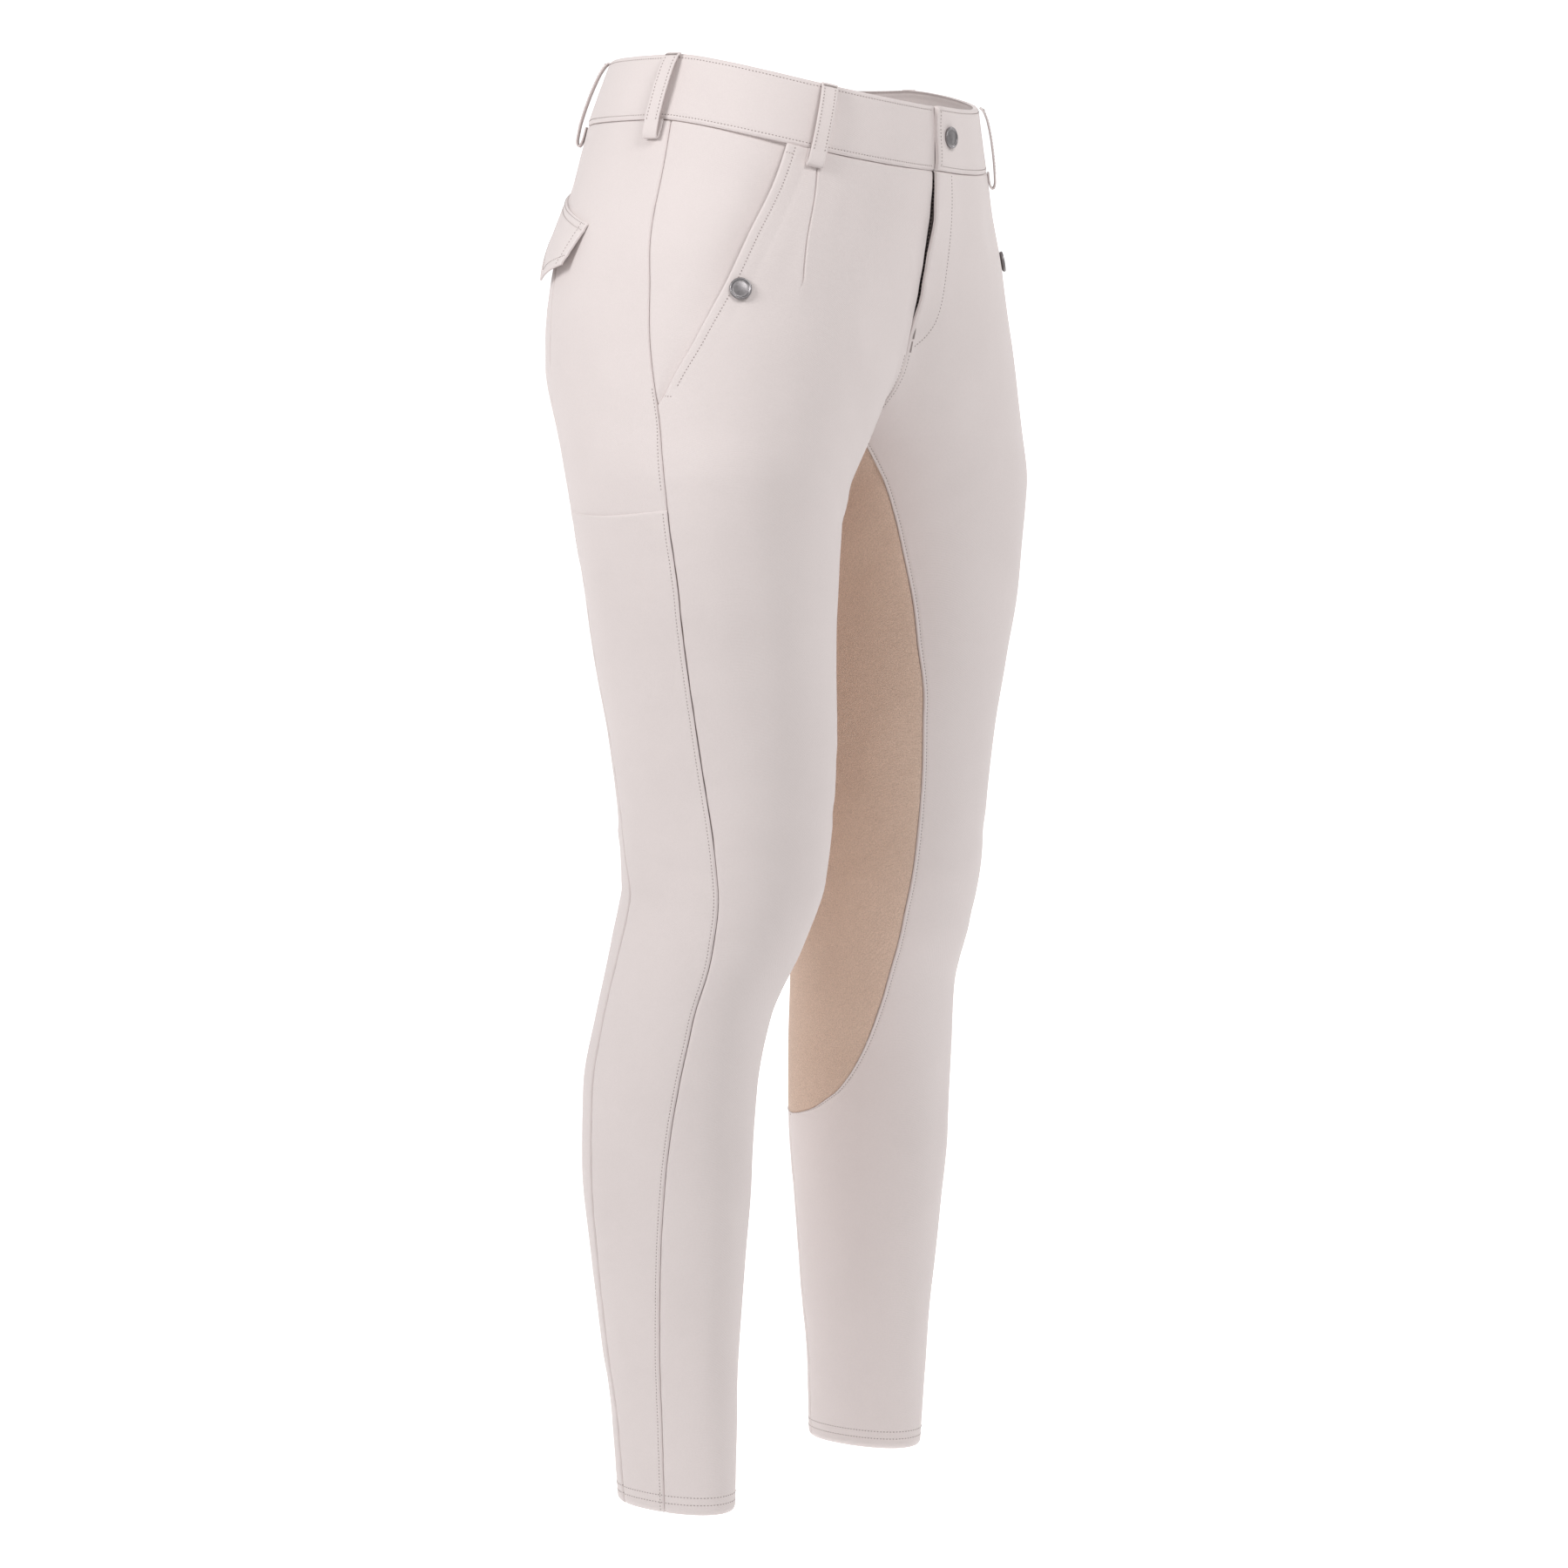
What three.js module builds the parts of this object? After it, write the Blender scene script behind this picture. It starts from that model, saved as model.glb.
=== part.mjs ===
import * as THREE from "three";

// Riding breeches in their worn, hollow shape. Millimetres, +Z up, wearer facing -Y.
// The origin is the middle of the waist opening. "up" is the height above the hem.
// "turn" goes round one leg in degrees: 0 inside, 90 front, 180 outside, -90 back.

const OUTSEAM = 935;
const WAIST_LEVEL = 922;
const FRONT_DIP = 28;
const BACK_RISE = 5;
const DIP_FROM = 760;
const DIP_CURVE = 1.2;
const SQUARENESS = 2.2;
const CENTRE_BLEND = 14;

const CLOTH = 1.5;
const BAND_CLOTH = 2.5;
const BAND_LIFT = 0.8;
const BAND_LOW = 886;
const BAND_TALL = 41.5;
const SEAM_GAP = 0.3;

const FLY_LOW = 752;
const FLY_WIDTH = 38;
const FLY_LIFT = 3;
const UNDERLAP = 30;
const SLANT_LOW = 718;
const SLANT_LIFT = 3.5;
const SLANT_TURN_IN = 15;
const FACING_DEPTH = 2.4;
const PHONE_EDGE = 648;
const PHONE_DEPTH = 2.1;
const GRIP_LOW = 229;
const GRIP_FRONT_TOP = 695;
const GRIP_BACK_TOP = 812;
const INSEAM_TURN = -50;

// Back pocket flap: start of its top edge, sizes in mm, tilt in degrees, mm of cloth a degree of turn.
const FLAP = {
  turn: 197, up: 824, width: 112, side: 28, point: 20, taper: 8, tilt: 14, lift: 2.2, hang: 6, perDegree: 2.3,
};

const SNAP_RADIUS = 7;
const LOOP_WIDTH = 11;
const LOOP_LOW = 873;
const LOOP_CLOTH = 1.6;
const LOOP_BOW = 7;

// Half sections: middle x and y of the leg ring, half widths across and fore-aft.
const SECTIONS = [
  { up: 0, midX: 110, midY: 15, halfX: 25, halfY: 43 },
  { up: 55, midX: 112, midY: 15, halfX: 29, halfY: 45 },
  { up: 110, midX: 114, midY: 17, halfX: 34, halfY: 49 },
  { up: 165, midX: 116, midY: 17, halfX: 39, halfY: 54 },
  { up: 220, midX: 117, midY: 17, halfX: 45, halfY: 58 },
  { up: 275, midX: 116, midY: 15, halfX: 49, halfY: 58 },
  { up: 320, midX: 110, midY: 9, halfX: 52, halfY: 57 },
  { up: 370, midX: 100, midY: -4, halfX: 57, halfY: 63 },
  { up: 410, midX: 94, midY: -12, halfX: 61, halfY: 66 },
  { up: 450, midX: 93, midY: -13, halfX: 64, halfY: 69 },
  { up: 500, midX: 96, midY: -13, halfX: 68, halfY: 73 },
  { up: 545, midX: 103, midY: -13, halfX: 71, halfY: 77 },
  { up: 590, midX: 109, midY: -14, halfX: 75, halfY: 80 },
  { up: 630, midX: 110, midY: -12, halfX: 80, halfY: 84 },
  { up: 665, midX: 106, midY: -10, halfX: 87.5, halfY: 90 },
  { up: 700, midX: 91, midY: -4, halfX: 99.5, halfY: 99 },
  { up: 740, midX: 73, midY: 4, halfX: 113, halfY: 109 },
  { up: 780, midX: 57, midY: 7, halfX: 121, halfY: 113 },
  { up: 820, midX: 40, midY: 6, halfX: 128, halfY: 114 },
  { up: 860, midX: 20, midY: 4, halfX: 132, halfY: 115 },
  { up: OUTSEAM, midX: 0, midY: -3.7, halfX: 132, halfY: 108 },
];

// Seam between the front and the side panel.
const FRONT_SIDE_SEAM = [
  { up: 0, turn: 170.4 },
  { up: 59, turn: 167.6 },
  { up: 104, turn: 163.8 },
  { up: 174, turn: 158.3 },
  { up: 258, turn: 147.1 },
  { up: 288, turn: 142.6 },
  { up: 317, turn: 140.9 },
  { up: 348, turn: 142.2 },
  { up: 378, turn: 145.9 },
  { up: 400, turn: 149.1 },
  { up: 435, turn: 153.6 },
  { up: 477, turn: 158.2 },
  { up: 515, turn: 160.6 },
  { up: 619, turn: 162.8 },
  { up: 683, turn: 165.1 },
  { up: 726, turn: 167 },
  { up: 753, turn: 168.9 },
  { up: 784, turn: 170.6 },
  { up: 816, turn: 173.3 },
  { up: BAND_LOW, turn: 176.3 },
];

// Seam between the side and the back panel.
const SIDE_BACK_SEAM = [
  { up: 0, turn: 218.3 },
  { up: 75, turn: 218.5 },
  { up: 126, turn: 217.7 },
  { up: 173, turn: 215.5 },
  { up: 225, turn: 211 },
  { up: 280, turn: 209.8 },
  { up: 348, turn: 211 },
  { up: 381, turn: 209.2 },
  { up: 398, turn: 209.4 },
  { up: 437, turn: 219 },
  { up: 500, turn: 224 },
  { up: 560, turn: 226.5 },
  { up: 640, turn: 227.5 },
  { up: 698, turn: 225.6 },
  { up: 724, turn: 220.5 },
  { up: 756, turn: 216 },
  { up: 793, turn: 217.5 },
  { up: BAND_LOW, turn: 224 },
];

// Front edge of the grip panel, and the inseam below its rounded end.
const GRIP_FRONT_EDGE = [
  { up: 0, turn: INSEAM_TURN },
  { up: GRIP_LOW, turn: INSEAM_TURN },
  { up: 229.6, turn: -41 },
  { up: 231, turn: -31 },
  { up: 233.2, turn: -22 },
  { up: 237, turn: -12 },
  { up: 252, turn: 5.6 },
  { up: 277, turn: 21.7 },
  { up: 302, turn: 32.6 },
  { up: 327, turn: 40.5 },
  { up: 352, turn: 43.8 },
  { up: 377, turn: 45.5 },
  { up: 425, turn: 50.1 },
  { up: 465, turn: 52.2 },
  { up: 518, turn: 49.3 },
  { up: 565, turn: 40.7 },
  { up: 611, turn: 33.8 },
  { up: 657, turn: 28.8 },
  { up: 680, turn: 27 },
  { up: GRIP_FRONT_TOP, turn: 26.8 },
];

// Back edge of the grip panel, up over the seat to the centre back seam.
const GRIP_BACK_EDGE = [
  { up: 0, turn: INSEAM_TURN },
  { up: GRIP_LOW, turn: INSEAM_TURN },
  { up: 229.6, turn: -58 },
  { up: 231, turn: -66.5 },
  { up: 233.2, turn: -74 },
  { up: 237, turn: -81 },
  { up: 252, turn: -92 },
  { up: 278, turn: -100 },
  { up: 306, turn: -104 },
  { up: 368, turn: -108 },
  { up: 436, turn: -111 },
  { up: 550, turn: -117 },
  { up: 664, turn: -122 },
  { up: 730, turn: -122 },
  { up: 768, turn: -115 },
  { up: 796, turn: -98 },
  { up: GRIP_BACK_TOP, turn: -72 },
];

// Slanted opening edge of the front pocket.
const SLANT_EDGE = [
  { up: SLANT_LOW, turn: 163.9 },
  { up: 756, turn: 152.8 },
  { up: 796, turn: 145.2 },
  { up: 834, turn: 141.5 },
  { up: 855, turn: 140.2 },
  { up: BAND_LOW, turn: 138.8 },
];

// Rings of points: heights on the front inner edge, the front and back side seams and the back
// inner edge.
const LEVELS = [
  { front: 0, pocket: 0, side: 0, back: 0 },
  { front: 50, pocket: 50, side: 50, back: 50 },
  { front: 100, pocket: 100, side: 100, back: 100 },
  { front: 145, pocket: 145, side: 145, back: 145 },
  { front: 185, pocket: 185, side: 185, back: 185 },
  { front: 212, pocket: 208, side: 208, back: 212 },
  { front: GRIP_LOW, pocket: 222, side: 222, back: GRIP_LOW },
  { front: 229.6, pocket: 231, side: 231, back: 229.6 },
  { front: 231, pocket: 239, side: 239, back: 231 },
  { front: 233.2, pocket: 247, side: 247, back: 233.2 },
  { front: 237, pocket: 256, side: 256, back: 237 },
  { front: 252, pocket: 268, side: 268, back: 252 },
  { front: 277, pocket: 284, side: 284, back: 278 },
  { front: 302, pocket: 304, side: 304, back: 306 },
  { front: 327, pocket: 328, side: 330, back: 336 },
  { front: 352, pocket: 352, side: 356, back: 368 },
  { front: 380, pocket: 380, side: 386, back: 402 },
  { front: 410, pocket: 410, side: 416, back: 436 },
  { front: 443, pocket: 443, side: 450, back: 474 },
  { front: 478, pocket: 478, side: 486, back: 512 },
  { front: 514, pocket: 514, side: 522, back: 550 },
  { front: 546, pocket: 546, side: 556, back: 588 },
  { front: 580, pocket: 580, side: 590, back: 626 },
  { front: 613, pocket: 614, side: 620, back: 664 },
  { front: 646, pocket: PHONE_EDGE, side: PHONE_EDGE, back: 702 },
  { front: 668, pocket: 668, side: 666, back: 734 },
  { front: 681, pocket: 682, side: 706, back: 764 },
  { front: 689, pocket: 691, side: 752, back: 788 },
  { front: 692.5, pocket: 697, side: 781, back: 803 },
  { front: GRIP_FRONT_TOP, pocket: 702, side: 801, back: GRIP_BACK_TOP },
  { front: 704, pocket: SLANT_LOW, side: 811, back: 824 },
  { front: 716, pocket: 736, side: 820, back: 834 },
  { front: 732, pocket: 757, side: 830, back: 844 },
  { front: FLY_LOW, pocket: 780, side: 840, back: 853 },
  { front: 782, pocket: 804, side: 851, back: 861 },
  { front: 814, pocket: 830, side: 862, back: 869 },
  { front: 850, pocket: 857, side: 873, back: 877 },
  { front: BAND_LOW, pocket: BAND_LOW, side: BAND_LOW, back: BAND_LOW },
];
const GRIP_FIRST = LEVELS.findIndex((level) => level.front === 237);
const GRIP_LAST = LEVELS.findIndex((level) => level.front === GRIP_FRONT_TOP);
const SLANT_FIRST = LEVELS.findIndex((level) => level.pocket === SLANT_LOW);
const PHONE_LEVEL = LEVELS.findIndex((level) => level.pocket === PHONE_EDGE);

const CLOTH_LOOK = new THREE.MeshStandardMaterial({ name: "stretch_cloth", color: 0xd8cdcc, roughness: 0.9 });
const GRIP_LOOK = new THREE.MeshStandardMaterial({ name: "grip_suede", color: 0xb29787, roughness: 1 });
const SNAP_LOOK = new THREE.MeshStandardMaterial({
  name: "snap_metal", color: 0x7f797b, roughness: 0.4, metalness: 1,
});
const ZIP_LOOK = new THREE.MeshStandardMaterial({ name: "zip_tape", color: 0xc9bcb8, roughness: 0.9 });

const radians = (degrees) => degrees * Math.PI / 180;
const clamp01 = (value) => Math.min(Math.max(value, 0), 1);
const mix = (from, to, share) => from + (to - from) * share;
const ease = (value) => clamp01(value) ** 2 * (3 - 2 * clamp01(value));

// Value of a named column at a height, passing smoothly through the rows without overshoot.
function smooth(table, name, up) {
  const last = table.length - 1;
  if (up <= table[0].up) {
    return table[0][name];
  }
  if (up >= table[last].up) {
    return table[last][name];
  }
  let row = 0;
  while (table[row + 1].up < up) {
    row += 1;
  }
  const rate = (i) => (table[i + 1][name] - table[i][name]) / (table[i + 1].up - table[i].up);
  const slope = (i) => {
    if (i === 0 || i === last) {
      return rate(Math.min(i, last - 1));
    }
    const product = rate(i - 1) * rate(i);
    return product > 0 ? 2 * product / (rate(i - 1) + rate(i)) : 0;
  };
  const height = table[row + 1].up - table[row].up;
  const t = (up - table[row].up) / height;
  const from = table[row][name];
  const to = table[row + 1][name];
  const bend = t * (1 - t) * height;
  return mix(from, to, t * t * (3 - 2 * t)) + bend * ((1 - t) * slope(row) - t * slope(row + 1));
}

// Height at which the two leg rings first touch.
function findCrotch() {
  let low = 640;
  let high = 720;
  for (let step = 0; step < 40; step += 1) {
    const middle = (low + high) / 2;
    if (smooth(SECTIONS, "midX", middle) > smooth(SECTIONS, "halfX", middle)) {
      low = middle;
    } else {
      high = middle;
    }
  }
  return high;
}
const CROTCH = findCrotch();

// Turn of the centre line, front or back, at a height above the crotch, or at a distance from it.
function centreTurn(up, distance = 0) {
  const reach = smooth(SECTIONS, "midX", up) - distance;
  const share = Math.min(Math.abs(reach) / smooth(SECTIONS, "halfX", up), 1) ** (SQUARENESS / 2);
  const turn = Math.acos(share) * 180 / Math.PI;
  return reach < 0 ? 180 - turn : turn;
}

// Height at which the centre line has a given turn.
function centreUp(turn) {
  let low = CROTCH;
  let high = OUTSEAM;
  for (let step = 0; step < 40; step += 1) {
    const middle = (low + high) / 2;
    if (centreTurn(middle) < Math.abs(turn)) {
      low = middle;
    } else {
      high = middle;
    }
  }
  return (low + high) / 2;
}

// Point of the worn surface of the left half.
function skin(turn, up) {
  const c = Math.cos(radians(turn));
  const s = Math.sin(radians(turn));
  const midX = smooth(SECTIONS, "midX", up);
  const halfX = smooth(SECTIONS, "halfX", up);
  const halfY = smooth(SECTIONS, "halfY", up);
  const power = 2 / SQUARENESS;
  const x = midX - halfX * Math.sign(c) * Math.abs(c) ** power;
  let y = smooth(SECTIONS, "midY", up) - halfY * Math.sign(s) * Math.abs(s) ** power;
  const near = clamp01(1 - Math.abs(x) / CENTRE_BLEND);
  if (up > CROTCH && near > 0) {
    const q = clamp01(midX / halfX);
    const steep = halfY / halfX * q ** (SQUARENESS - 1) * (1 - q ** SQUARENESS) ** (1 / SQUARENESS - 1);
    const share = ease((up - 695) / 50);
    y -= Math.sign(s) * share * Math.min(steep, 1) * CENTRE_BLEND / 2 * near ** 2;
  }
  const top = BACK_RISE * Math.max(-s, 0) ** DIP_CURVE - FRONT_DIP * Math.max(s, 0) ** DIP_CURVE;
  const seam = top + OUTSEAM - BAND_LOW - BAND_TALL;
  const below = seam * clamp01((up - DIP_FROM) / (BAND_LOW - DIP_FROM));
  const rise = mix(below, top, clamp01((up - BAND_LOW) / (OUTSEAM - BAND_LOW)));
  return new THREE.Vector3(Math.max(x, 0), y, up + rise - WAIST_LEVEL);
}

// Outward direction of the surface, taken on the near side of the centre line.
function outward(turn, up) {
  const step = 0.4;
  const here = skin(turn, up);
  const near = (point) => (point.x > 0 ? point : here);
  const around = near(skin(turn + step, up)).clone().sub(near(skin(turn - step, up)));
  const along = near(skin(turn, up + step)).clone().sub(near(skin(turn, up - step)));
  return around.cross(along).normalize();
}

// One point of a cloth grid; other is true on the far side of the centre line.
function knot(turn, up, lift = 0, other = false) {
  const at = skin(turn, up);
  const out = outward(turn, up);
  if (other) {
    at.x = -at.x;
    out.x = -out.x;
  }
  return { at, out, lift };
}

// Moves the border points of a grid inwards along the surface by half the seam gap.
function inset(grid) {
  const rows = grid.length - 1;
  const columns = grid[0].length - 1;
  const moved = grid.map((row) => row.map((point) => point.at.clone()));
  const shift = (r, c, edge, inner) => {
    const along = edge[1].clone().sub(edge[0]).normalize();
    const inside = inner.clone().sub(grid[r][c].at);
    inside.addScaledVector(along, -inside.dot(along)).normalize();
    moved[r][c].addScaledVector(inside, SEAM_GAP / 2);
  };
  for (let r = 0; r <= rows; r += 1) {
    const below = Math.max(r - 1, 0);
    const above = Math.min(r + 1, rows);
    shift(r, 0, [grid[below][0].at, grid[above][0].at], grid[r][1].at);
    shift(r, columns, [grid[below][columns].at, grid[above][columns].at], grid[r][columns - 1].at);
  }
  for (let c = 0; c <= columns; c += 1) {
    const before = Math.max(c - 1, 0);
    const after = Math.min(c + 1, columns);
    shift(0, c, [grid[0][before].at, grid[0][after].at], grid[1][c].at);
    shift(rows, c, [grid[rows][before].at, grid[rows][after].at], grid[rows - 1][c].at);
  }
  return moved;
}

// Closed body from points and triangles, turned so that it faces outwards.
function closedBody(points, faces) {
  let volume = 0;
  for (const [a, b, c] of faces) {
    volume += points[a].dot(points[b].clone().cross(points[c]));
  }
  const order = volume < 0 ? faces.map(([a, b, c]) => [a, c, b]) : faces;
  const geometry = new THREE.BufferGeometry();
  const numbers = points.flatMap((point) => [point.x, point.y, point.z]);
  geometry.setAttribute("position", new THREE.Float32BufferAttribute(numbers, 3));
  geometry.setIndex(order.flat());
  geometry.computeVertexNormals();
  return geometry;
}

// Cloth of even thickness on a grid of knots; only a crossing piece passes the centre line.
function cloth(grid, thickness = CLOTH, crossing = false) {
  const rows = grid.length;
  const columns = grid[0].length;
  const moved = inset(grid);
  const points = [];
  for (const depth of [0, thickness]) {
    for (let r = 0; r < rows; r += 1) {
      for (let c = 0; c < columns; c += 1) {
        const point = moved[r][c].clone().addScaledVector(grid[r][c].out, grid[r][c].lift - depth);
        if (!crossing) {
          point.x = Math.max(point.x, SEAM_GAP / 2);
        }
        points.push(point);
      }
    }
  }
  const under = rows * columns;
  const faces = [];
  for (let r = 0; r < rows - 1; r += 1) {
    for (let c = 0; c < columns - 1; c += 1) {
      const a = r * columns + c;
      const b = a + 1;
      const d = a + columns;
      const e = d + 1;
      const short = points[a].distanceTo(points[e]) <= points[b].distanceTo(points[d]);
      const halves = short ? [[a, b, e], [a, e, d]] : [[a, b, d], [b, e, d]];
      for (const [i, j, k] of halves) {
        faces.push([i, j, k], [under + i, under + k, under + j]);
      }
    }
  }
  const border = [];
  for (let c = 0; c < columns - 1; c += 1) {
    border.push(c);
  }
  for (let r = 0; r < rows - 1; r += 1) {
    border.push(r * columns + columns - 1);
  }
  for (let c = columns - 1; c > 0; c -= 1) {
    border.push((rows - 1) * columns + c);
  }
  for (let r = rows - 1; r > 0; r -= 1) {
    border.push(r * columns);
  }
  border.forEach((a, i) => {
    const b = border[(i + 1) % border.length];
    faces.push([a, under + a, under + b], [a, under + b, b]);
  });
  return closedBody(points, faces);
}

// Heights and turns of the inner edges and the side seams at one level.
function frontInner(up) {
  return up < GRIP_FRONT_TOP ? smooth(GRIP_FRONT_EDGE, "turn", up) : centreTurn(up);
}

function backInner(up) {
  return up < GRIP_BACK_TOP ? smooth(GRIP_BACK_EDGE, "turn", up) : -centreTurn(up);
}

const frontSide = (up) => smooth(FRONT_SIDE_SEAM, "turn", up);
const sideBack = (up) => smooth(SIDE_BACK_SEAM, "turn", up);
const slant = (up) => smooth(SLANT_EDGE, "turn", up);

// Turn that lies a given distance before another one on the surface.
function stepBack(turn, up, distance) {
  const reach = skin(turn, up).distanceTo(skin(turn - 1, up));
  return turn - distance / reach;
}

// Row of knots between two ends, with the lift given by share, height and turn.
function row(from, to, count, lift = () => 0) {
  const knots = [];
  for (let i = 0; i <= count; i += 1) {
    const share = i / count;
    const turn = mix(from.turn, to.turn, share);
    const up = mix(from.up, to.up, share);
    knots.push(knot(turn, up, lift(share, up, turn)));
  }
  return knots;
}

const flyLift = (distance, up) => FLY_LIFT * (1 - ease(distance / FLY_WIDTH)) * ease((up - FLY_LOW) / 40);
const gapeLift = (up) => SLANT_LIFT * Math.sin(Math.PI * clamp01((up - SLANT_LOW) / (OUTSEAM - SLANT_LOW)));

function frontPanel(isLeft) {
  const grid = LEVELS.map((level) => {
    const inner = { turn: frontInner(level.front), up: level.front };
    const lift = (share, up, turn) => {
      const distance = skin(turn, up).x;
      return isLeft && up > FLY_LOW && turn < 110 ? flyLift(distance, up) : 0;
    };
    if (level.pocket < SLANT_LOW) {
      const plain = { turn: frontSide(level.pocket), up: level.pocket };
      return row(inner, plain, 9, lift);
    }
    const edge = { turn: slant(level.pocket), up: level.pocket };
    const turned = { turn: stepBack(edge.turn, edge.up, SLANT_TURN_IN), up: edge.up };
    const gape = gapeLift(level.pocket);
    return [
      ...row(inner, turned, 8, lift).map((point, i) => (i === 8 ? { ...point, lift: 0.3 * gape } : point)),
      knot(edge.turn, edge.up, gape),
    ];
  });
  return cloth(grid);
}

function pocketFacing() {
  const grid = LEVELS.slice(SLANT_FIRST - 1).map(({ pocket: up }) => {
    const edge = slant(up);
    const end = frontSide(up);
    const shown = up < SLANT_LOW ? 0 : 1;
    return [
      knot(stepBack(edge, up, SLANT_TURN_IN), up, -FACING_DEPTH),
      knot(edge, up, -FACING_DEPTH),
      knot(mix(edge, end, 0.5), up, -FACING_DEPTH * (1 - 0.5 * shown)),
      knot(end, up, -FACING_DEPTH * (1 - shown)),
    ];
  });
  return cloth(grid);
}

function sideRow(level, lift = 0) {
  const from = { turn: frontSide(level.pocket), up: level.pocket };
  const to = { turn: sideBack(level.side), up: level.side };
  return row(from, to, 4, () => lift);
}

function sideLower() {
  return cloth(LEVELS.slice(0, PHONE_LEVEL + 1).map((level) => sideRow(level)));
}

function sideUpper() {
  return cloth(LEVELS.slice(PHONE_LEVEL - 1).map((level) => (
    sideRow(level, level.pocket > PHONE_EDGE ? 0 : -PHONE_DEPTH)
  )));
}

function backPanel() {
  const grid = LEVELS.map((level) => (
    row(
      { turn: sideBack(level.side), up: level.side },
      { turn: 360 + backInner(level.back), up: level.back },
      5,
    )
  ));
  return cloth(grid);
}

// Grip panel between its rounded lower end, its two edges and the crotch seam.
function gripPanel() {
  const columns = 8;
  const first = LEVELS[GRIP_FIRST];
  const last = LEVELS[GRIP_LAST];
  const frontTop = centreTurn(GRIP_FRONT_TOP);
  const backTop = -centreTurn(GRIP_BACK_TOP);
  const tip = LEVELS.slice(GRIP_FIRST - 4, GRIP_FIRST + 1).map((level) => level.front);
  const low = (c) => {
    const up = tip[Math.abs(4 - c)];
    return { turn: c < 4 ? frontInner(up) : backInner(up), up };
  };
  const high = (c) => {
    const turn = mix(frontTop, backTop, c / columns);
    return { turn, up: centreUp(turn) };
  };
  const grid = LEVELS.slice(GRIP_FIRST, GRIP_LAST + 1).map((level, i, all) => {
    const t = i / (all.length - 1);
    const left = { turn: frontInner(level.front), up: level.front };
    const right = { turn: backInner(level.back), up: level.back };
    if (i === all.length - 1) {
      left.turn = frontTop;
      right.turn = backTop;
    }
    return Array.from({ length: columns + 1 }, (unused, c) => {
      const s = c / columns;
      const patch = (name) => mix(low(c)[name], high(c)[name], t) + mix(left[name], right[name], s)
        - mix(
          mix(low(0)[name], low(columns)[name], s),
          mix(high(0)[name], high(columns)[name], s),
          t,
        );
      return knot(patch("turn"), patch("up"));
    });
  });
  return cloth(grid);
}

const BAND_LEVELS = [BAND_LOW, 901, 919, OUTSEAM];

// One half of the waistband from the centre back; the right one runs on under the left one.
function waistband(isLeft) {
  const lift = (distance) => BAND_LIFT + (isLeft ? flyLift(distance, OUTSEAM) : 0);
  const grid = BAND_LEVELS.map((up) => {
    const knots = [];
    for (const distance of [0, 15, 30]) {
      const turn = centreTurn(up, distance);
      knots.push(knot(turn, up, lift(distance)));
    }
    const start = centreTurn(up, 30);
    const end = 360 - centreTurn(up);
    for (let i = 1; i <= 22; i += 1) {
      const turn = mix(start, end, i / 22);
      knots.push(knot(turn, up, lift(Math.max(skin(turn, up).x, 30))));
    }
    if (!isLeft) {
      knots.unshift(knot(centreTurn(up, 15), up, BAND_LIFT - 1.4, true));
      knots.unshift(knot(centreTurn(up, UNDERLAP), up, BAND_LIFT - 2.6, true));
    }
    return knots;
  });
  return cloth(grid, BAND_CLOTH, !isLeft);
}

// Strip behind the fly, from a distance on the right to a distance on the left.
function flyStrip(distances, depth, thickness) {
  const grid = LEVELS.filter((level) => level.front >= FLY_LOW).map(({ front: up }) => (
    distances.map((distance) => knot(centreTurn(up, Math.abs(distance)), up, -depth, distance < 0))
  ));
  return cloth(grid, thickness, true);
}

// Belt loop, bowed out from the waistband and folded under below it.
function beltLoop(turn) {
  const profile = [
    { up: OUTSEAM - 1, lift: 2.9 },
    { up: OUTSEAM - 5, lift: 5.2 },
    { up: OUTSEAM - 12, lift: LOOP_BOW + 0.9 },
    { up: OUTSEAM - 24, lift: LOOP_BOW + 1.8 },
    { up: OUTSEAM - 36, lift: LOOP_BOW + 1.6 },
    { up: LOOP_LOW + 10, lift: LOOP_BOW },
    { up: LOOP_LOW + 4, lift: 4.6 },
    { up: LOOP_LOW, lift: 2.9 },
  ];
  const reach = skin(turn - 1, BAND_LOW).distanceTo(skin(turn + 1, BAND_LOW)) / 2;
  const half = LOOP_WIDTH / 2 / reach;
  const grid = profile.map(({ up, lift }) => (
    [-half, 0, half].map((side) => {
      const point = knot(turn + side, up, lift);
      point.out = outward(turn, up);
      return point;
    })
  ));
  return cloth(grid, LOOP_CLOTH);
}

// Pointed pocket flap, hanging a little away from the seat.
function pocketFlap() {
  const columns = 8;
  const tilt = radians(FLAP.tilt);
  const grid = [0, 0.2, 0.5, 0.75, 1].map((down) => (
    Array.from({ length: columns + 1 }, (unused, i) => {
      const share = i / columns;
      const drop = down * (FLAP.side + FLAP.point * (1 - Math.abs(2 * share - 1)));
      const along = mix(down * FLAP.taper, FLAP.width - down * FLAP.taper, share);
      const turn = FLAP.turn + (along * Math.cos(tilt) + drop * Math.sin(tilt)) / FLAP.perDegree;
      const up = FLAP.up + along * Math.sin(tilt) - drop * Math.cos(tilt);
      return knot(turn, up, FLAP.lift + FLAP.hang * down ** 1.3);
    })
  ));
  return cloth(grid);
}

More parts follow.
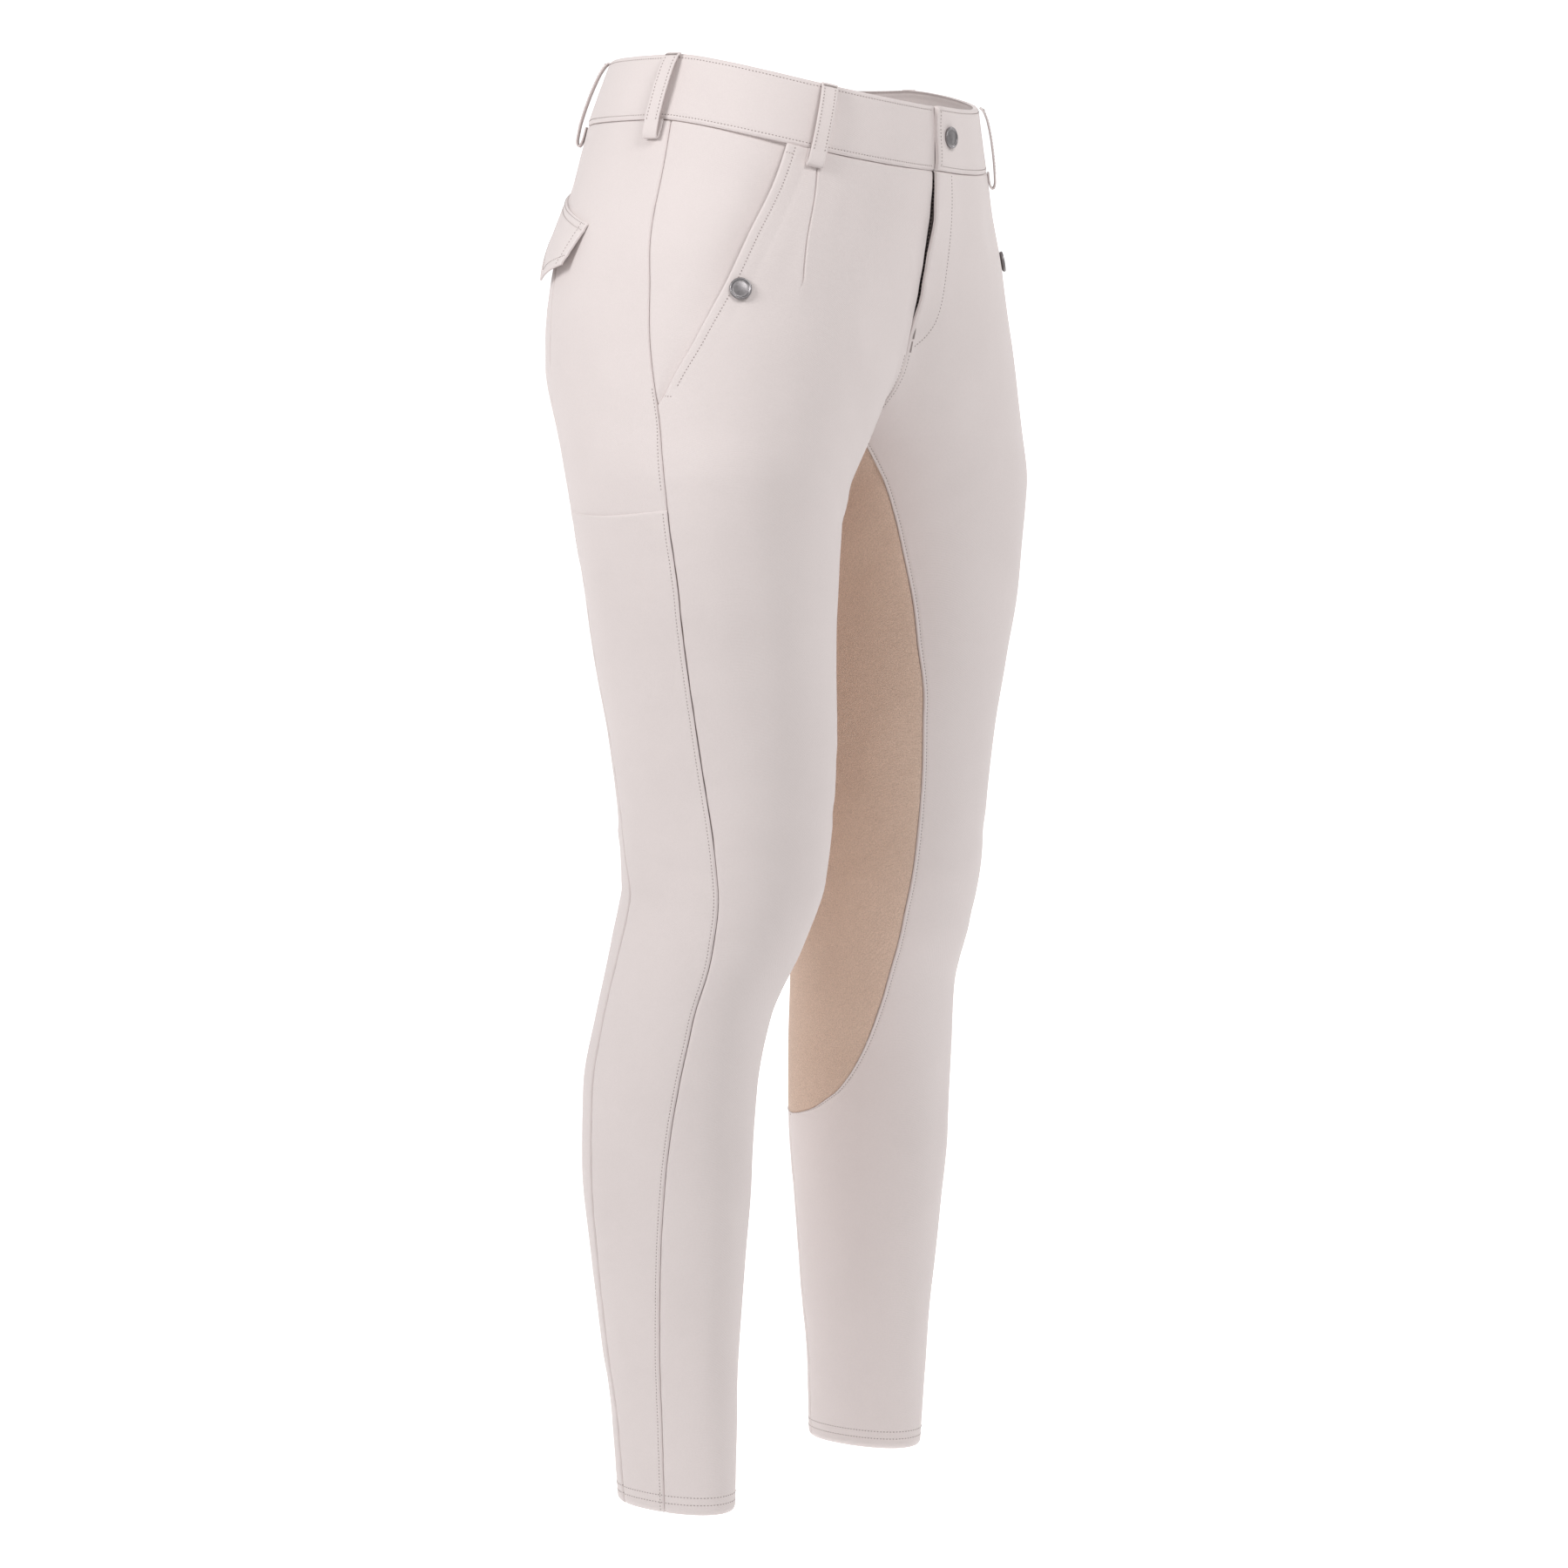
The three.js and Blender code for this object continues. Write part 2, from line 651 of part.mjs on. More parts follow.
// Round snap cap with a raised rim and a low dome.
function snapCap(turn, up, lift) {
  const profile = [
    [0, 0], [5.6, 0], [SNAP_RADIUS, 0.5], [SNAP_RADIUS, 1.2],
    [6.5, 1.8], [5.7, 1.8], [5.2, 1.2], [2.8, 1.5], [0, 1.6],
  ];
  const geometry = new THREE.LatheGeometry(profile.map(([r, h]) => new THREE.Vector2(r, h)), 24);
  const axis = new THREE.Vector3(0, 1, 0);
  const out = outward(turn, up);
  geometry.applyQuaternion(new THREE.Quaternion().setFromUnitVectors(axis, out));
  const seat = skin(turn, up).addScaledVector(out, lift);
  geometry.translate(seat.x, seat.y, seat.z);
  return geometry;
}

// Mirrors a left geometry to the right side.
function mirrored(geometry) {
  const copy = geometry.clone();
  copy.scale(-1, 1, 1);
  const index = copy.getIndex();
  for (let i = 0; i < index.count; i += 3) {
    const second = index.getX(i + 1);
    index.setX(i + 1, index.getX(i + 2));
    index.setX(i + 2, second);
  }
  copy.computeVertexNormals();
  return copy;
}

const breeches = new THREE.Group();
breeches.name = "riding_breeches";

function add(name, geometry, look) {
  const mesh = new THREE.Mesh(geometry, look);
  mesh.name = name;
  breeches.add(mesh);
}

function addPair(name, geometry, look) {
  add(`${name}_left`, geometry, look);
  add(`${name}_right`, mirrored(geometry), look);
}

const LOOP_TURNS = { front: 129.3, side: 180, back: 233 };

add("front_left", frontPanel(true), CLOTH_LOOK);
add("front_right", mirrored(frontPanel(false)), CLOTH_LOOK);
addPair("pocket_facing", pocketFacing(), CLOTH_LOOK);
addPair("side_upper", sideUpper(), CLOTH_LOOK);
addPair("side_lower", sideLower(), CLOTH_LOOK);
addPair("back", backPanel(), CLOTH_LOOK);
addPair("grip", gripPanel(), GRIP_LOOK);
addPair("back_pocket_flap", pocketFlap(), CLOTH_LOOK);
add("waistband_left", waistband(true), CLOTH_LOOK);
add("waistband_right", mirrored(waistband(false)), CLOTH_LOOK);
add("fly_shield", flyStrip([-18, -12, 0, 14, 26], 4, CLOTH), CLOTH_LOOK);
add("fly_zip", flyStrip([-12, 0, 14], 2.6, 1), ZIP_LOOK);
for (const [place, turn] of Object.entries(LOOP_TURNS)) {
  addPair(`belt_loop_${place}`, beltLoop(turn), CLOTH_LOOK);
}
add("pocket_snap_left", snapCap(130, 821, 1.1), SNAP_LOOK);
add("pocket_snap_right", mirrored(snapCap(141, 786, 2.3)), SNAP_LOOK);
add("waist_snap", snapCap(centreTurn(912, 14), 912, 3.4), SNAP_LOOK);

export default breeches;
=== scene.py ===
import math

import bmesh
import bpy
import numpy as np
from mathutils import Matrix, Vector


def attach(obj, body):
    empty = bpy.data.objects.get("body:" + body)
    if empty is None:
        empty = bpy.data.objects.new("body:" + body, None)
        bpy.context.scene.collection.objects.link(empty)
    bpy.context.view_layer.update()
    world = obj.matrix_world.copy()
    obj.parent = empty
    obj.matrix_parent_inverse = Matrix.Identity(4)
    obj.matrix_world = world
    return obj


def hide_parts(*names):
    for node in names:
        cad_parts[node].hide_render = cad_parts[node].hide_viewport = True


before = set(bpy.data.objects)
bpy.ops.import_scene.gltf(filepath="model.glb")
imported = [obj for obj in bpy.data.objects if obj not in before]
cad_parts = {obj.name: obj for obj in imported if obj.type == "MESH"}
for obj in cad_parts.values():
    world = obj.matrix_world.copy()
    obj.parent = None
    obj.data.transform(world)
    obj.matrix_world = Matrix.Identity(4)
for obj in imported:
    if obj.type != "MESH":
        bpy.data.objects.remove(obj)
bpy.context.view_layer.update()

# Lengths are millimetres until a mesh is made. "up" is the height above the hem and "turn"
# the angle round one leg in degrees: 0 inside, 90 front, 180 outside, 270 back.
MM = 0.001
OUTSEAM = 935.0
WAIST_LEVEL = 922.0
FRONT_DIP = 28.0
BACK_RISE = 5.0
DIP_FROM = 760.0
DIP_CURVE = 1.2
SQUARENESS = 2.2
CENTRE_BLEND = 14.0
BAND_LIFT = 0.8
BAND_LOW = 886.0
BAND_TALL = 41.5
BAND_CLOTH = 2.5
SEAM_GAP = 0.3
FLY_LOW = 752.0
FLY_WIDTH = 38.0
FLY_LIFT = 3.0
SLANT_LOW = 718.0
SLANT_LIFT = 3.5
SLANT_TURN_IN = 15.0
FACING_DEPTH = 2.4
PHONE_EDGE = 648.0
PHONE_DEPTH = 2.1
GRIP_LOW = 229.0
GRIP_FRONT_TOP = 695.0
GRIP_BACK_TOP = 812.0
INSEAM_TURN = -50.0
UNDERLAP = 30.0
UNDER_COLUMNS = 12
SHELL = 1.2
LOOP_TURNS = {"front": 129.3, "side": 180.0, "back": 233.0}
LOOP_HALF = 5.5
LOOP_MIDDLE = 905.0
FLAP = {
    "turn": 197, "up": 824, "width": 112, "side": 28, "point": 20, "taper": 8, "tilt": 14,
    "lift": 2.2, "hang": 6, "per_degree": 2.3,
}
SIDES = {"left": 1, "right": -1}

# Distances of stitch rows from the edges that they follow.
EDGE_STITCH = 2.6
UPPER_STITCH = 2.4
BAND_STITCH = 2.8
SLANT_STITCH = 5.6
HEM_STITCHES = (7.0, 12.0)
LOOP_STITCH = 3.6
FLAP_STITCH = 6.5
FLAP_TOP_STITCHES = (5.0, 1.2)

# How far the lap of the fly bulges, and where.
FLY_BULGE = 1.3
FLY_GAPE = 842.0
# Turn between the fly's part of a front leg and the pocket's.
FRONT_MIDDLE = 110
# Height at which the phone pocket's bag begins.
PHONE_SEAM_LOW = 432.0
# Cloth that a seam draws in on each side of it.
SEAM_DRAW = 0.2
# Distances from an edge at which a cloth grid has a line, so that the edge can roll in softly.
EDGE_STEPS = np.array([0, 0.3, 0.7, 1.2, 1.8, 2.6, 3.6, 4.8, 6.4])
# Distances on both sides of a dart at which a cloth grid has a line.
GUIDE_STEPS = np.array([-4.2, -2.6, -1.6, -0.9, -0.4, 0, 0.4, 0.9, 1.6, 2.6, 4.2])

# Camera: turned from the wearer's front towards the wearer's right, seen from this far away.
CAMERA_TURN = 54.86
CAMERA_DISTANCE = 2589.0
CAMERA_UP = 649.7
CAMERA_PITCH = 4.06
CAMERA_SHIFT = -5.1
CAMERA_LENS = 89.4
CAMERA_SENSOR = 36.0

# Floor below the hems, and the wall that it curves up to.
FLOOR_LEVEL = -WAIST_LEVEL - 130.0
FLOOR_HALF = 9000.0
WALL_REACH = 5200.0
WALL_CURVE = 2600.0


def table(names, *rows):
    """Table with named columns."""
    return dict(zip(names.split(), np.array(rows, float).T))


SECTIONS = table(
    "up mid_x mid_y half_x half_y",
    (0, 110, 15, 25, 43), (55, 112, 15, 29, 45), (110, 114, 17, 34, 49), (165, 116, 17, 39, 54),
    (220, 117, 17, 45, 58), (275, 116, 15, 49, 58), (320, 110, 9, 52, 57), (370, 100, -4, 57, 63),
    (410, 94, -12, 61, 66), (450, 93, -13, 64, 69), (500, 96, -13, 68, 73), (545, 103, -13, 71, 77),
    (590, 109, -14, 75, 80), (630, 110, -12, 80, 84), (665, 106, -10, 87.5, 90), (700, 91, -4, 99.5, 99),
    (740, 73, 4, 113, 109), (780, 57, 7, 121, 113), (820, 40, 6, 128, 114), (860, 20, 4, 132, 115),
    (OUTSEAM, 0, -3.7, 132, 108),
)
FRONT_SIDE_SEAM = table(
    "up turn",
    (0, 170.4), (59, 167.6), (104, 163.8), (174, 158.3), (258, 147.1), (288, 142.6), (317, 140.9),
    (348, 142.2), (378, 145.9), (400, 149.1), (435, 153.6), (477, 158.2), (515, 160.6), (619, 162.8),
    (683, 165.1), (726, 167), (753, 168.9), (784, 170.6), (816, 173.3), (BAND_LOW, 176.3),
)
SIDE_BACK_SEAM = table(
    "up turn",
    (0, 218.3), (75, 218.5), (126, 217.7), (173, 215.5), (225, 211), (280, 209.8), (348, 211),
    (381, 209.2), (398, 209.4), (437, 219), (500, 224), (560, 226.5), (640, 227.5), (698, 225.6),
    (724, 220.5), (756, 216), (793, 217.5), (BAND_LOW, 224),
)
GRIP_FRONT_EDGE = table(
    "up turn",
    (0, INSEAM_TURN), (GRIP_LOW, INSEAM_TURN), (229.6, -41), (231, -31), (233.2, -22), (237, -12),
    (252, 5.6), (277, 21.7), (302, 32.6), (327, 40.5), (352, 43.8), (377, 45.5), (425, 50.1),
    (465, 52.2), (518, 49.3), (565, 40.7), (611, 33.8), (657, 28.8), (680, 27), (GRIP_FRONT_TOP, 26.8),
)
GRIP_BACK_EDGE = table(
    "up turn",
    (0, INSEAM_TURN), (GRIP_LOW, INSEAM_TURN), (229.6, -58), (231, -66.5), (233.2, -74), (237, -81),
    (252, -92), (278, -100), (306, -104), (368, -108), (436, -111), (550, -117), (664, -122),
    (730, -122), (768, -115), (796, -98), (GRIP_BACK_TOP, -72),
)
SLANT_EDGE = table(
    "up turn",
    (SLANT_LOW, 163.9), (756, 152.8), (796, 145.2), (834, 141.5), (855, 140.2), (BAND_LOW, 138.8),
)
# Heights of one ring of points on the front inner edge, the two side seams and the back inner edge.
LEVELS = table(
    "up front pocket side back",
    (0, 0, 0, 0, 0), (1, 50, 50, 50, 50), (2, 100, 100, 100, 100), (3, 145, 145, 145, 145),
    (4, 185, 185, 185, 185), (5, 212, 208, 208, 212), (6, GRIP_LOW, 222, 222, GRIP_LOW),
    (7, 229.6, 231, 231, 229.6), (8, 231, 239, 239, 231), (9, 233.2, 247, 247, 233.2),
    (10, 237, 256, 256, 237), (11, 252, 268, 268, 252), (12, 277, 284, 284, 278),
    (13, 302, 304, 304, 306), (14, 327, 328, 330, 336), (15, 352, 352, 356, 368),
    (16, 380, 380, 386, 402), (17, 410, 410, 416, 436), (18, 443, 443, 450, 474),
    (19, 478, 478, 486, 512), (20, 514, 514, 522, 550), (21, 546, 546, 556, 588),
    (22, 580, 580, 590, 626), (23, 613, 614, 620, 664), (24, 646, PHONE_EDGE, PHONE_EDGE, 702),
    (25, 668, 668, 666, 734), (26, 681, 682, 706, 764), (27, 689, 691, 752, 788),
    (28, 692.5, 697, 781, 803), (29, GRIP_FRONT_TOP, 702, 801, GRIP_BACK_TOP), (30, 704, SLANT_LOW, 811, 824),
    (31, 716, 736, 820, 834), (32, 732, 757, 830, 844), (33, FLY_LOW, 780, 840, 853),
    (34, 782, 804, 851, 861), (35, 814, 830, 862, 869), (36, 850, 857, 873, 877),
    (37, BAND_LOW, BAND_LOW, BAND_LOW, BAND_LOW),
)
GRIP_FIRST, PHONE_LEVEL, GRIP_LAST, SLANT_FIRST, TOP_LEVEL = 10, 24, 29, 30, 37

# Upper and lower end of each front dart, as (up, turn).
DARTS = {"left": ((BAND_LOW, 126.5), (818, 122.0)), "right": ((BAND_LOW, 129.0), (796, 121.1))}
# Curved row of stitches beside the fly, as (up, distance from the lap's edge).
J_STITCH = (
    (BAND_LOW, 18.0), (840, 21.5), (799, 22.0), (772, 20.0), (760, 15.0), (755, 9.5), (752, 4.0),
)
# Belt loop from its tacked top to the fold below the band and back up to the seam, as (up, lift).
LOOP_PATH = (
    (933.6, 1.5), (934.3, 2.2), (932.4, 3.4), (929.5, 4.4), (923, 5.6), (911, 6.4), (899, 6.5), (889, 6.2),
    (882, 5.8), (877, 5.3), (874.6, 4.5), (873.6, 3.5), (874.3, 2.5), (876.6, 1.8), (880, 1.5), (885.5, 1.6),
)
# Section of a snap's cap, as (radius, height): a low flange, a raised rim and a shallow dome inside it.
SNAP_SECTION = (
    (0, -0.4), (6.2, -0.4), (6.7, 0.1), (6.95, 0.6), (7.0, 1.0), (6.9, 1.45), (6.6, 1.75), (6.2, 1.85),
    (5.8, 1.75), (5.5, 1.45), (5.25, 1.25), (4.9, 1.2), (4.0, 1.32), (2.6, 1.48), (1.2, 1.57), (0, 1.6),
)

# Creases: up, turn, length, half width, depth (a ridge if positive) and lean of each.
FRONT_CREASES = (
    (668, 62, 70, 9, -1.3, 62), (655, 74, 58, 7, -0.9, 55), (640, 52, 44, 6, -0.8, 70),
    (716, 84, 60, 11, -1.0, 40), (700, 118, 90, 14, -0.8, 20), (748, 92, 40, 8, 0.8, 25),
    (452, 62, 46, 8, -0.9, 95), (430, 120, 52, 9, -0.8, 82), (404, 80, 38, 7, 0.7, 100),
    (376, 132, 44, 8, -0.7, 75), (250, 96, 90, 10, -0.7, 8), (120, 118, 80, 9, 0.6, -6),
    (560, 128, 130, 16, -0.9, 6), (840, 112, 52, 8, -0.7, 14), (80, 62, 50, 7, -0.5, 12),
)
BACK_CREASES = (
    (418, 262, 46, 7, -2.1, 84), (402, 246, 34, 6, -1.4, 98), (386, 274, 38, 6, -1.6, 76),
    (440, 240, 30, 6, 1.1, 90), (366, 256, 28, 5, -1.1, 88), (690, 236, 70, 12, -1.4, 35),
    (640, 232, 60, 10, -1.0, 20), (240, 250, 90, 10, -1.0, -8), (150, 262, 70, 9, 0.8, 10),
    (70, 236, 44, 7, -0.6, 15), (806, 238, 46, 9, -0.8, -20),
)
GRIP_CREASES = (
    (655, 6, 66, 9, -2.2, 60), (640, -18, 54, 8, -1.6, 48), (672, -48, 60, 10, -1.9, 32),
    (606, 10, 70, 10, -1.1, 40), (560, -52, 90, 13, -1.3, 18), (700, -90, 70, 13, -1.4, 24),
    (424, -60, 44, 7, -1.9, 92), (404, -40, 34, 6, -1.4, 84), (384, -70, 36, 6, -1.6, 100),
    (446, -34, 34, 6, 1.1, 88), (330, -20, 60, 9, -1.0, 30), (484, 8, 70, 11, -1.1, 16),
    (420, 16, 40, 8, -1.0, 74), (740, -108, 50, 10, -1.1, 10),
)
SIDE_CREASES = (
    (420, 176, 40, 8, -0.8, 88), (396, 190, 34, 7, -0.7, 80), (250, 180, 80, 10, -0.6, 5),
    (740, 196, 70, 12, -0.8, 28), (560, 196, 110, 14, -0.8, -6), (110, 196, 60, 8, 0.5, 10),
)


def smooth(values, column, at):
    """Value of a column at a height, passing smoothly through the rows without overshoot."""
    x, y = values["up"], values[column]
    at = np.clip(np.asarray(at, float), x[0], x[-1])
    i = np.clip(np.searchsorted(x, at, side="right") - 1, 0, len(x) - 2)
    rate = np.diff(y) / np.diff(x)
    before, after = rate[:-1], rate[1:]
    total = np.where(before + after == 0, 1, before + after)
    inner = np.where(before * after > 0, 2 * before * after / total, 0)
    slope = np.concatenate([rate[:1], inner, rate[-1:]])
    height = x[i + 1] - x[i]
    t = (at - x[i]) / height
    share = t * t * (3 - 2 * t)
    bend = t * (1 - t) * height
    return y[i] + (y[i + 1] - y[i]) * share + bend * ((1 - t) * slope[i] - t * slope[i + 1])


def ease(value):
    value = np.clip(value, 0, 1)
    return value * value * (3 - 2 * value)


def mix(low, high, share):
    return low + (high - low) * share


def signed_power(value, power):
    return np.sign(value) * np.abs(value) ** power


def bell(distance, width, power=2):
    """Falls from 1 at a line to nothing some widths away from it."""
    return np.exp(-(distance / width) ** power)


def reach_along(points):
    """Distance of each point from the first one, along the line through them."""
    steps = np.linalg.norm(np.diff(points, axis=0), axis=1)
    return np.concatenate([[0], np.cumsum(steps)])


def centre_turn(up, distance=0.0):
    """Turn at a distance from the centre line, above the crotch."""
    reach = smooth(SECTIONS, "mid_x", up) - distance
    share = np.minimum(np.abs(reach) / smooth(SECTIONS, "half_x", up), 1) ** (SQUARENESS / 2)
    turn = np.degrees(np.arccos(share))
    return np.where(reach < 0, 180 - turn, turn)


def find_crotch():
    heights = np.linspace(640, 720, 4001)
    gap = smooth(SECTIONS, "mid_x", heights) - smooth(SECTIONS, "half_x", heights)
    return heights[np.argmax(gap <= 0)]


CROTCH = find_crotch()
CENTRE_HEIGHTS = np.linspace(CROTCH, BAND_LOW, 2000)
CENTRE_TURNS = centre_turn(CENTRE_HEIGHTS)


def skin(turn, up):
    """Points of the worn surface of the left half."""
    turn, up = np.broadcast_arrays(np.asarray(turn, float), np.asarray(up, float))
    c, s = np.cos(np.radians(turn)), np.sin(np.radians(turn))
    mid_x, half_x = smooth(SECTIONS, "mid_x", up), smooth(SECTIONS, "half_x", up)
    half_y = smooth(SECTIONS, "half_y", up)
    power = 2 / SQUARENESS
    x = mid_x - half_x * signed_power(c, power)
    y = smooth(SECTIONS, "mid_y", up) - half_y * signed_power(s, power)
    near = np.clip(1 - np.abs(x) / CENTRE_BLEND, 0, 1) * (up > CROTCH)
    q = np.clip(mid_x / half_x, 0, 0.999)
    steep = half_y / half_x * q ** (SQUARENESS - 1) * (1 - q ** SQUARENESS) ** (1 / SQUARENESS - 1)
    y = y - np.sign(s) * ease((up - 695) / 50) * np.minimum(steep, 1) * CENTRE_BLEND / 2 * near ** 2
    top = BACK_RISE * np.maximum(-s, 0) ** DIP_CURVE - FRONT_DIP * np.maximum(s, 0) ** DIP_CURVE
    seam = top + OUTSEAM - BAND_LOW - BAND_TALL
    below = seam * np.clip((up - DIP_FROM) / (BAND_LOW - DIP_FROM), 0, 1)
    rise = mix(below, top, np.clip((up - BAND_LOW) / (OUTSEAM - BAND_LOW), 0, 1))
    z = up + rise - WAIST_LEVEL
    return np.stack([np.maximum(x, 0), y, z], -1)


def unit(vectors):
    return vectors / np.maximum(np.linalg.norm(vectors, axis=-1, keepdims=True), 1e-9)


def outward(turn, up, step=0.4):
    """Outward direction of the surface, taken on the near side of the centre line."""
    here = skin(turn, up)

    def near(points):
        return np.where(points[..., :1] > 0, points, here)

    around = near(skin(turn + step, up)) - near(skin(turn - step, up))
    along = near(skin(turn, up + step)) - near(skin(turn, up - step))
    return unit(np.cross(around, along))


def front_inner(up):
    return np.where(up < GRIP_FRONT_TOP, smooth(GRIP_FRONT_EDGE, "turn", up), centre_turn(up))


def back_inner(up):
    return np.where(up < GRIP_BACK_TOP, smooth(GRIP_BACK_EDGE, "turn", up), -centre_turn(up))


def front_side(up):
    return smooth(FRONT_SIDE_SEAM, "turn", up)


def side_back(up):
    return smooth(SIDE_BACK_SEAM, "turn", up)


def slant(up):
    return smooth(SLANT_EDGE, "turn", up)


def fly_lift(distance, up):
    return FLY_LIFT * (1 - ease(distance / FLY_WIDTH)) * ease((up - FLY_LOW) / 40)


def gape_lift(up):
    return SLANT_LIFT * np.sin(np.pi * np.clip((up - SLANT_LOW) / (OUTSEAM - SLANT_LOW), 0, 1))


def level_steps(first, last, pitch=5.0):
    """Levels for the rows of a panel, close together at its two ends."""
    levels = np.arange(first, last + 1)
    heights = LEVELS["pocket"][levels]
    low, high = heights[0], heights[-1]
    count = int((high - low) / pitch)
    wanted = np.concatenate([
        low + EDGE_STEPS, high - EDGE_STEPS, np.linspace(low + 10, high - 10, count), heights,
    ])
    wanted = np.unique(np.round(wanted, 2))
    return np.interp(wanted, heights, levels)


def column_shares(length, count, guide=None):
    """Distances along one row, close together at its two ends and beside a guide line."""
    near = min(1.0, length / 40)
    ends = EDGE_STEPS * near + SEAM_DRAW
    if guide is None:
        middle = np.linspace(ends[-1], length - ends[-1], count + 2)[1:-1]
        return np.concatenate([ends, middle, length - ends[::-1]])
    beside = guide + GUIDE_STEPS * near
    before = np.linspace(ends[-1], beside[0], count - count // 3 + 2)[1:-1]
    after = np.linspace(beside[-1], length - ends[-1], count // 3 + 2)[1:-1]
    return np.concatenate([ends, before, beside, after, length - ends[::-1]])


class Panel:
    """Grid of surface points with directions, distances to the four edges, and a lift."""

    def __init__(self, turn0, up0, turn1, up1, count, side=1, guide=None):
        probes = np.linspace(0, 1, 97)
        rows_turn, rows_up = [], []
        for a, b, c, d in zip(turn0, up0, turn1, up1):
            reach = reach_along(skin(mix(a, c, probes), mix(b, d, probes)))
            line = None if guide is None else np.interp(guide(mix(b, d, 0.7)), mix(a, c, probes), reach)
            share = np.interp(column_shares(reach[-1], count, line), reach, probes)
            rows_turn.append(mix(a, c, share))
            rows_up.append(mix(b, d, share))
        self.set_grid(np.array(rows_turn), np.array(rows_up), side)

    def set_grid(self, turn, up, side):
        self.turn, self.up, self.side = turn, up, side
        self.base, self.out = skin(turn, up), outward(turn, up)
        across = np.linalg.norm(np.diff(self.base, axis=1), axis=2)
        along = np.linalg.norm(np.diff(self.base, axis=0), axis=2)
        self.across = np.concatenate([np.zeros((len(turn), 1)), np.cumsum(across, 1)], 1)
        self.along = np.concatenate([np.zeros((1, turn.shape[1])), np.cumsum(along, 0)], 0)
        self.start, self.end = self.across, self.across[:, -1:] - self.across
        self.low, self.high = self.along, self.along[-1:] - self.along
        self.lift = np.zeros_like(turn)
        self.x = self.base[..., 0]
        self.cross = np.ones_like(turn)

    def mirror(self):
        """Sign of x of every point, which a strip that crosses the centre line turns over."""
        return np.stack([self.side * self.cross, np.ones_like(self.up), np.ones_like(self.up)], -1)

    def points(self, extra=0.0):
        place = self.base + self.out * (self.lift + extra)[..., None]
        place[..., 0] = np.maximum(place[..., 0], np.where(self.cross.min() < 0, 0, SEAM_GAP / 2))
        return place * self.mirror()

    def directions(self):
        return self.out * self.mirror()

    def line(self, edge, distance, extra=0.0):
        """Points and outward directions of a line that keeps a distance from one edge."""
        reach = {"start": self.start, "end": self.end, "low": self.low, "high": self.high}[edge]
        values = np.concatenate([self.points(extra), self.directions()], -1)
        if edge in ("low", "high"):
            reach, values = reach.T, values.transpose(1, 0, 2)
        if edge in ("end", "high"):
            reach, values = reach[:, ::-1], values[:, ::-1]
        distance = np.broadcast_to(distance, len(reach))
        found = np.array([
            [np.interp(d, r, v[:, k]) for k in range(6)] for d, r, v in zip(distance, reach, values)
        ])
        return found[:, :3], unit(found[:, 3:])

    def at(self, up, distance):
        """Point and outward direction at a height on the start edge and a distance from it."""
        row = np.interp(up, self.up[:, 0], np.arange(len(self.up)))
        values = np.concatenate([self.points(), self.directions()], -1)
        found = []
        for r, d in zip(row, distance):
            a = min(int(r), len(values) - 2)
            ends = [[np.interp(d, self.start[i], values[i, :, k]) for k in range(6)] for i in (a, a + 1)]
            found.append(mix(np.array(ends[0]), np.array(ends[1]), r - a))
        found = np.array(found)
        return found[:, :3], unit(found[:, 3:])

    def rows_between(self, low, high, column=0):
        """Rows whose edge point lies between two heights."""
        return (self.up[:, column] >= low) & (self.up[:, column] <= high)


class Grip(Panel):
    """Grip panel between its rounded end, its two edges and the crotch seam."""

    def __init__(self, side=1, count=70):
        steps = level_steps(GRIP_FIRST, GRIP_LAST)
        front_up, back_up = smooth(LEVELS, "front", steps), smooth(LEVELS, "back", steps)
        front, back = front_inner(front_up), back_inner(back_up)
        top = centre_turn(GRIP_FRONT_TOP), -centre_turn(GRIP_BACK_TOP)
        front[-1], back[-1] = top
        s = np.linspace(0, 1, 401)
        tip = smooth(LEVELS, "front", GRIP_FIRST - 4 * (1 - np.abs(2 * s - 1)))
        low = np.where(s < 0.5, front_inner(tip), back_inner(tip)), tip
        high_turn = mix(top[0], top[1], s)
        high = high_turn, np.interp(np.abs(high_turn), CENTRE_TURNS, CENTRE_HEIGHTS)
        t = ((steps - steps[0]) / (steps[-1] - steps[0]))[:, None]
        sides = ((front, back), (front_up, back_up))
        patch = []
        for (start, end), lo, hi in zip(sides, low, high):
            corner = mix(mix(lo[0], lo[-1], s), mix(hi[0], hi[-1], s), t)
            patch.append(mix(lo, hi, t) + mix(start[:, None], end[:, None], s) - corner)
        points = skin(*patch)
        reach = np.linalg.norm(np.diff(points, axis=1), axis=2).cumsum(1)
        reach = np.concatenate([np.zeros((len(steps), 1)), reach], 1)
        share = np.array([np.interp(column_shares(r[-1], count), r, s) for r in reach])
        turn = np.array([np.interp(a, s, b) for a, b in zip(share, patch[0])])
        up = np.array([np.interp(a, s, b) for a, b in zip(share, patch[1])])
        self.set_grid(turn, up, side)


def roll(distance, depth=1.1, width=0.75):
    """Soft fall of a cloth edge into its seam."""
    return -depth * bell(distance, width, 1.5)


def folded(distance):
    """Turned edge that lies on the next panel, with the row of stitches beside it."""
    edge = 0.55 * bell(distance, 4) - 0.9 * bell(distance, 0.5)
    return edge - roll(distance) + trough(distance, EDGE_STITCH, 0.35)


def trough(distance, place, depth, width=0.8):
    """Soft line that a row of stitches pulls into the cloth."""
    return -depth * bell(distance - place, width)


def hem(distance):
    """Rounding of a hem towards its fold, and the lines of its two rows of stitches."""
    rows = sum(trough(distance, place, 0.25) for place in HEM_STITCHES)
    return rows - 1.6 * np.clip(1 - distance / 3.5, 0, 1) ** 2.2


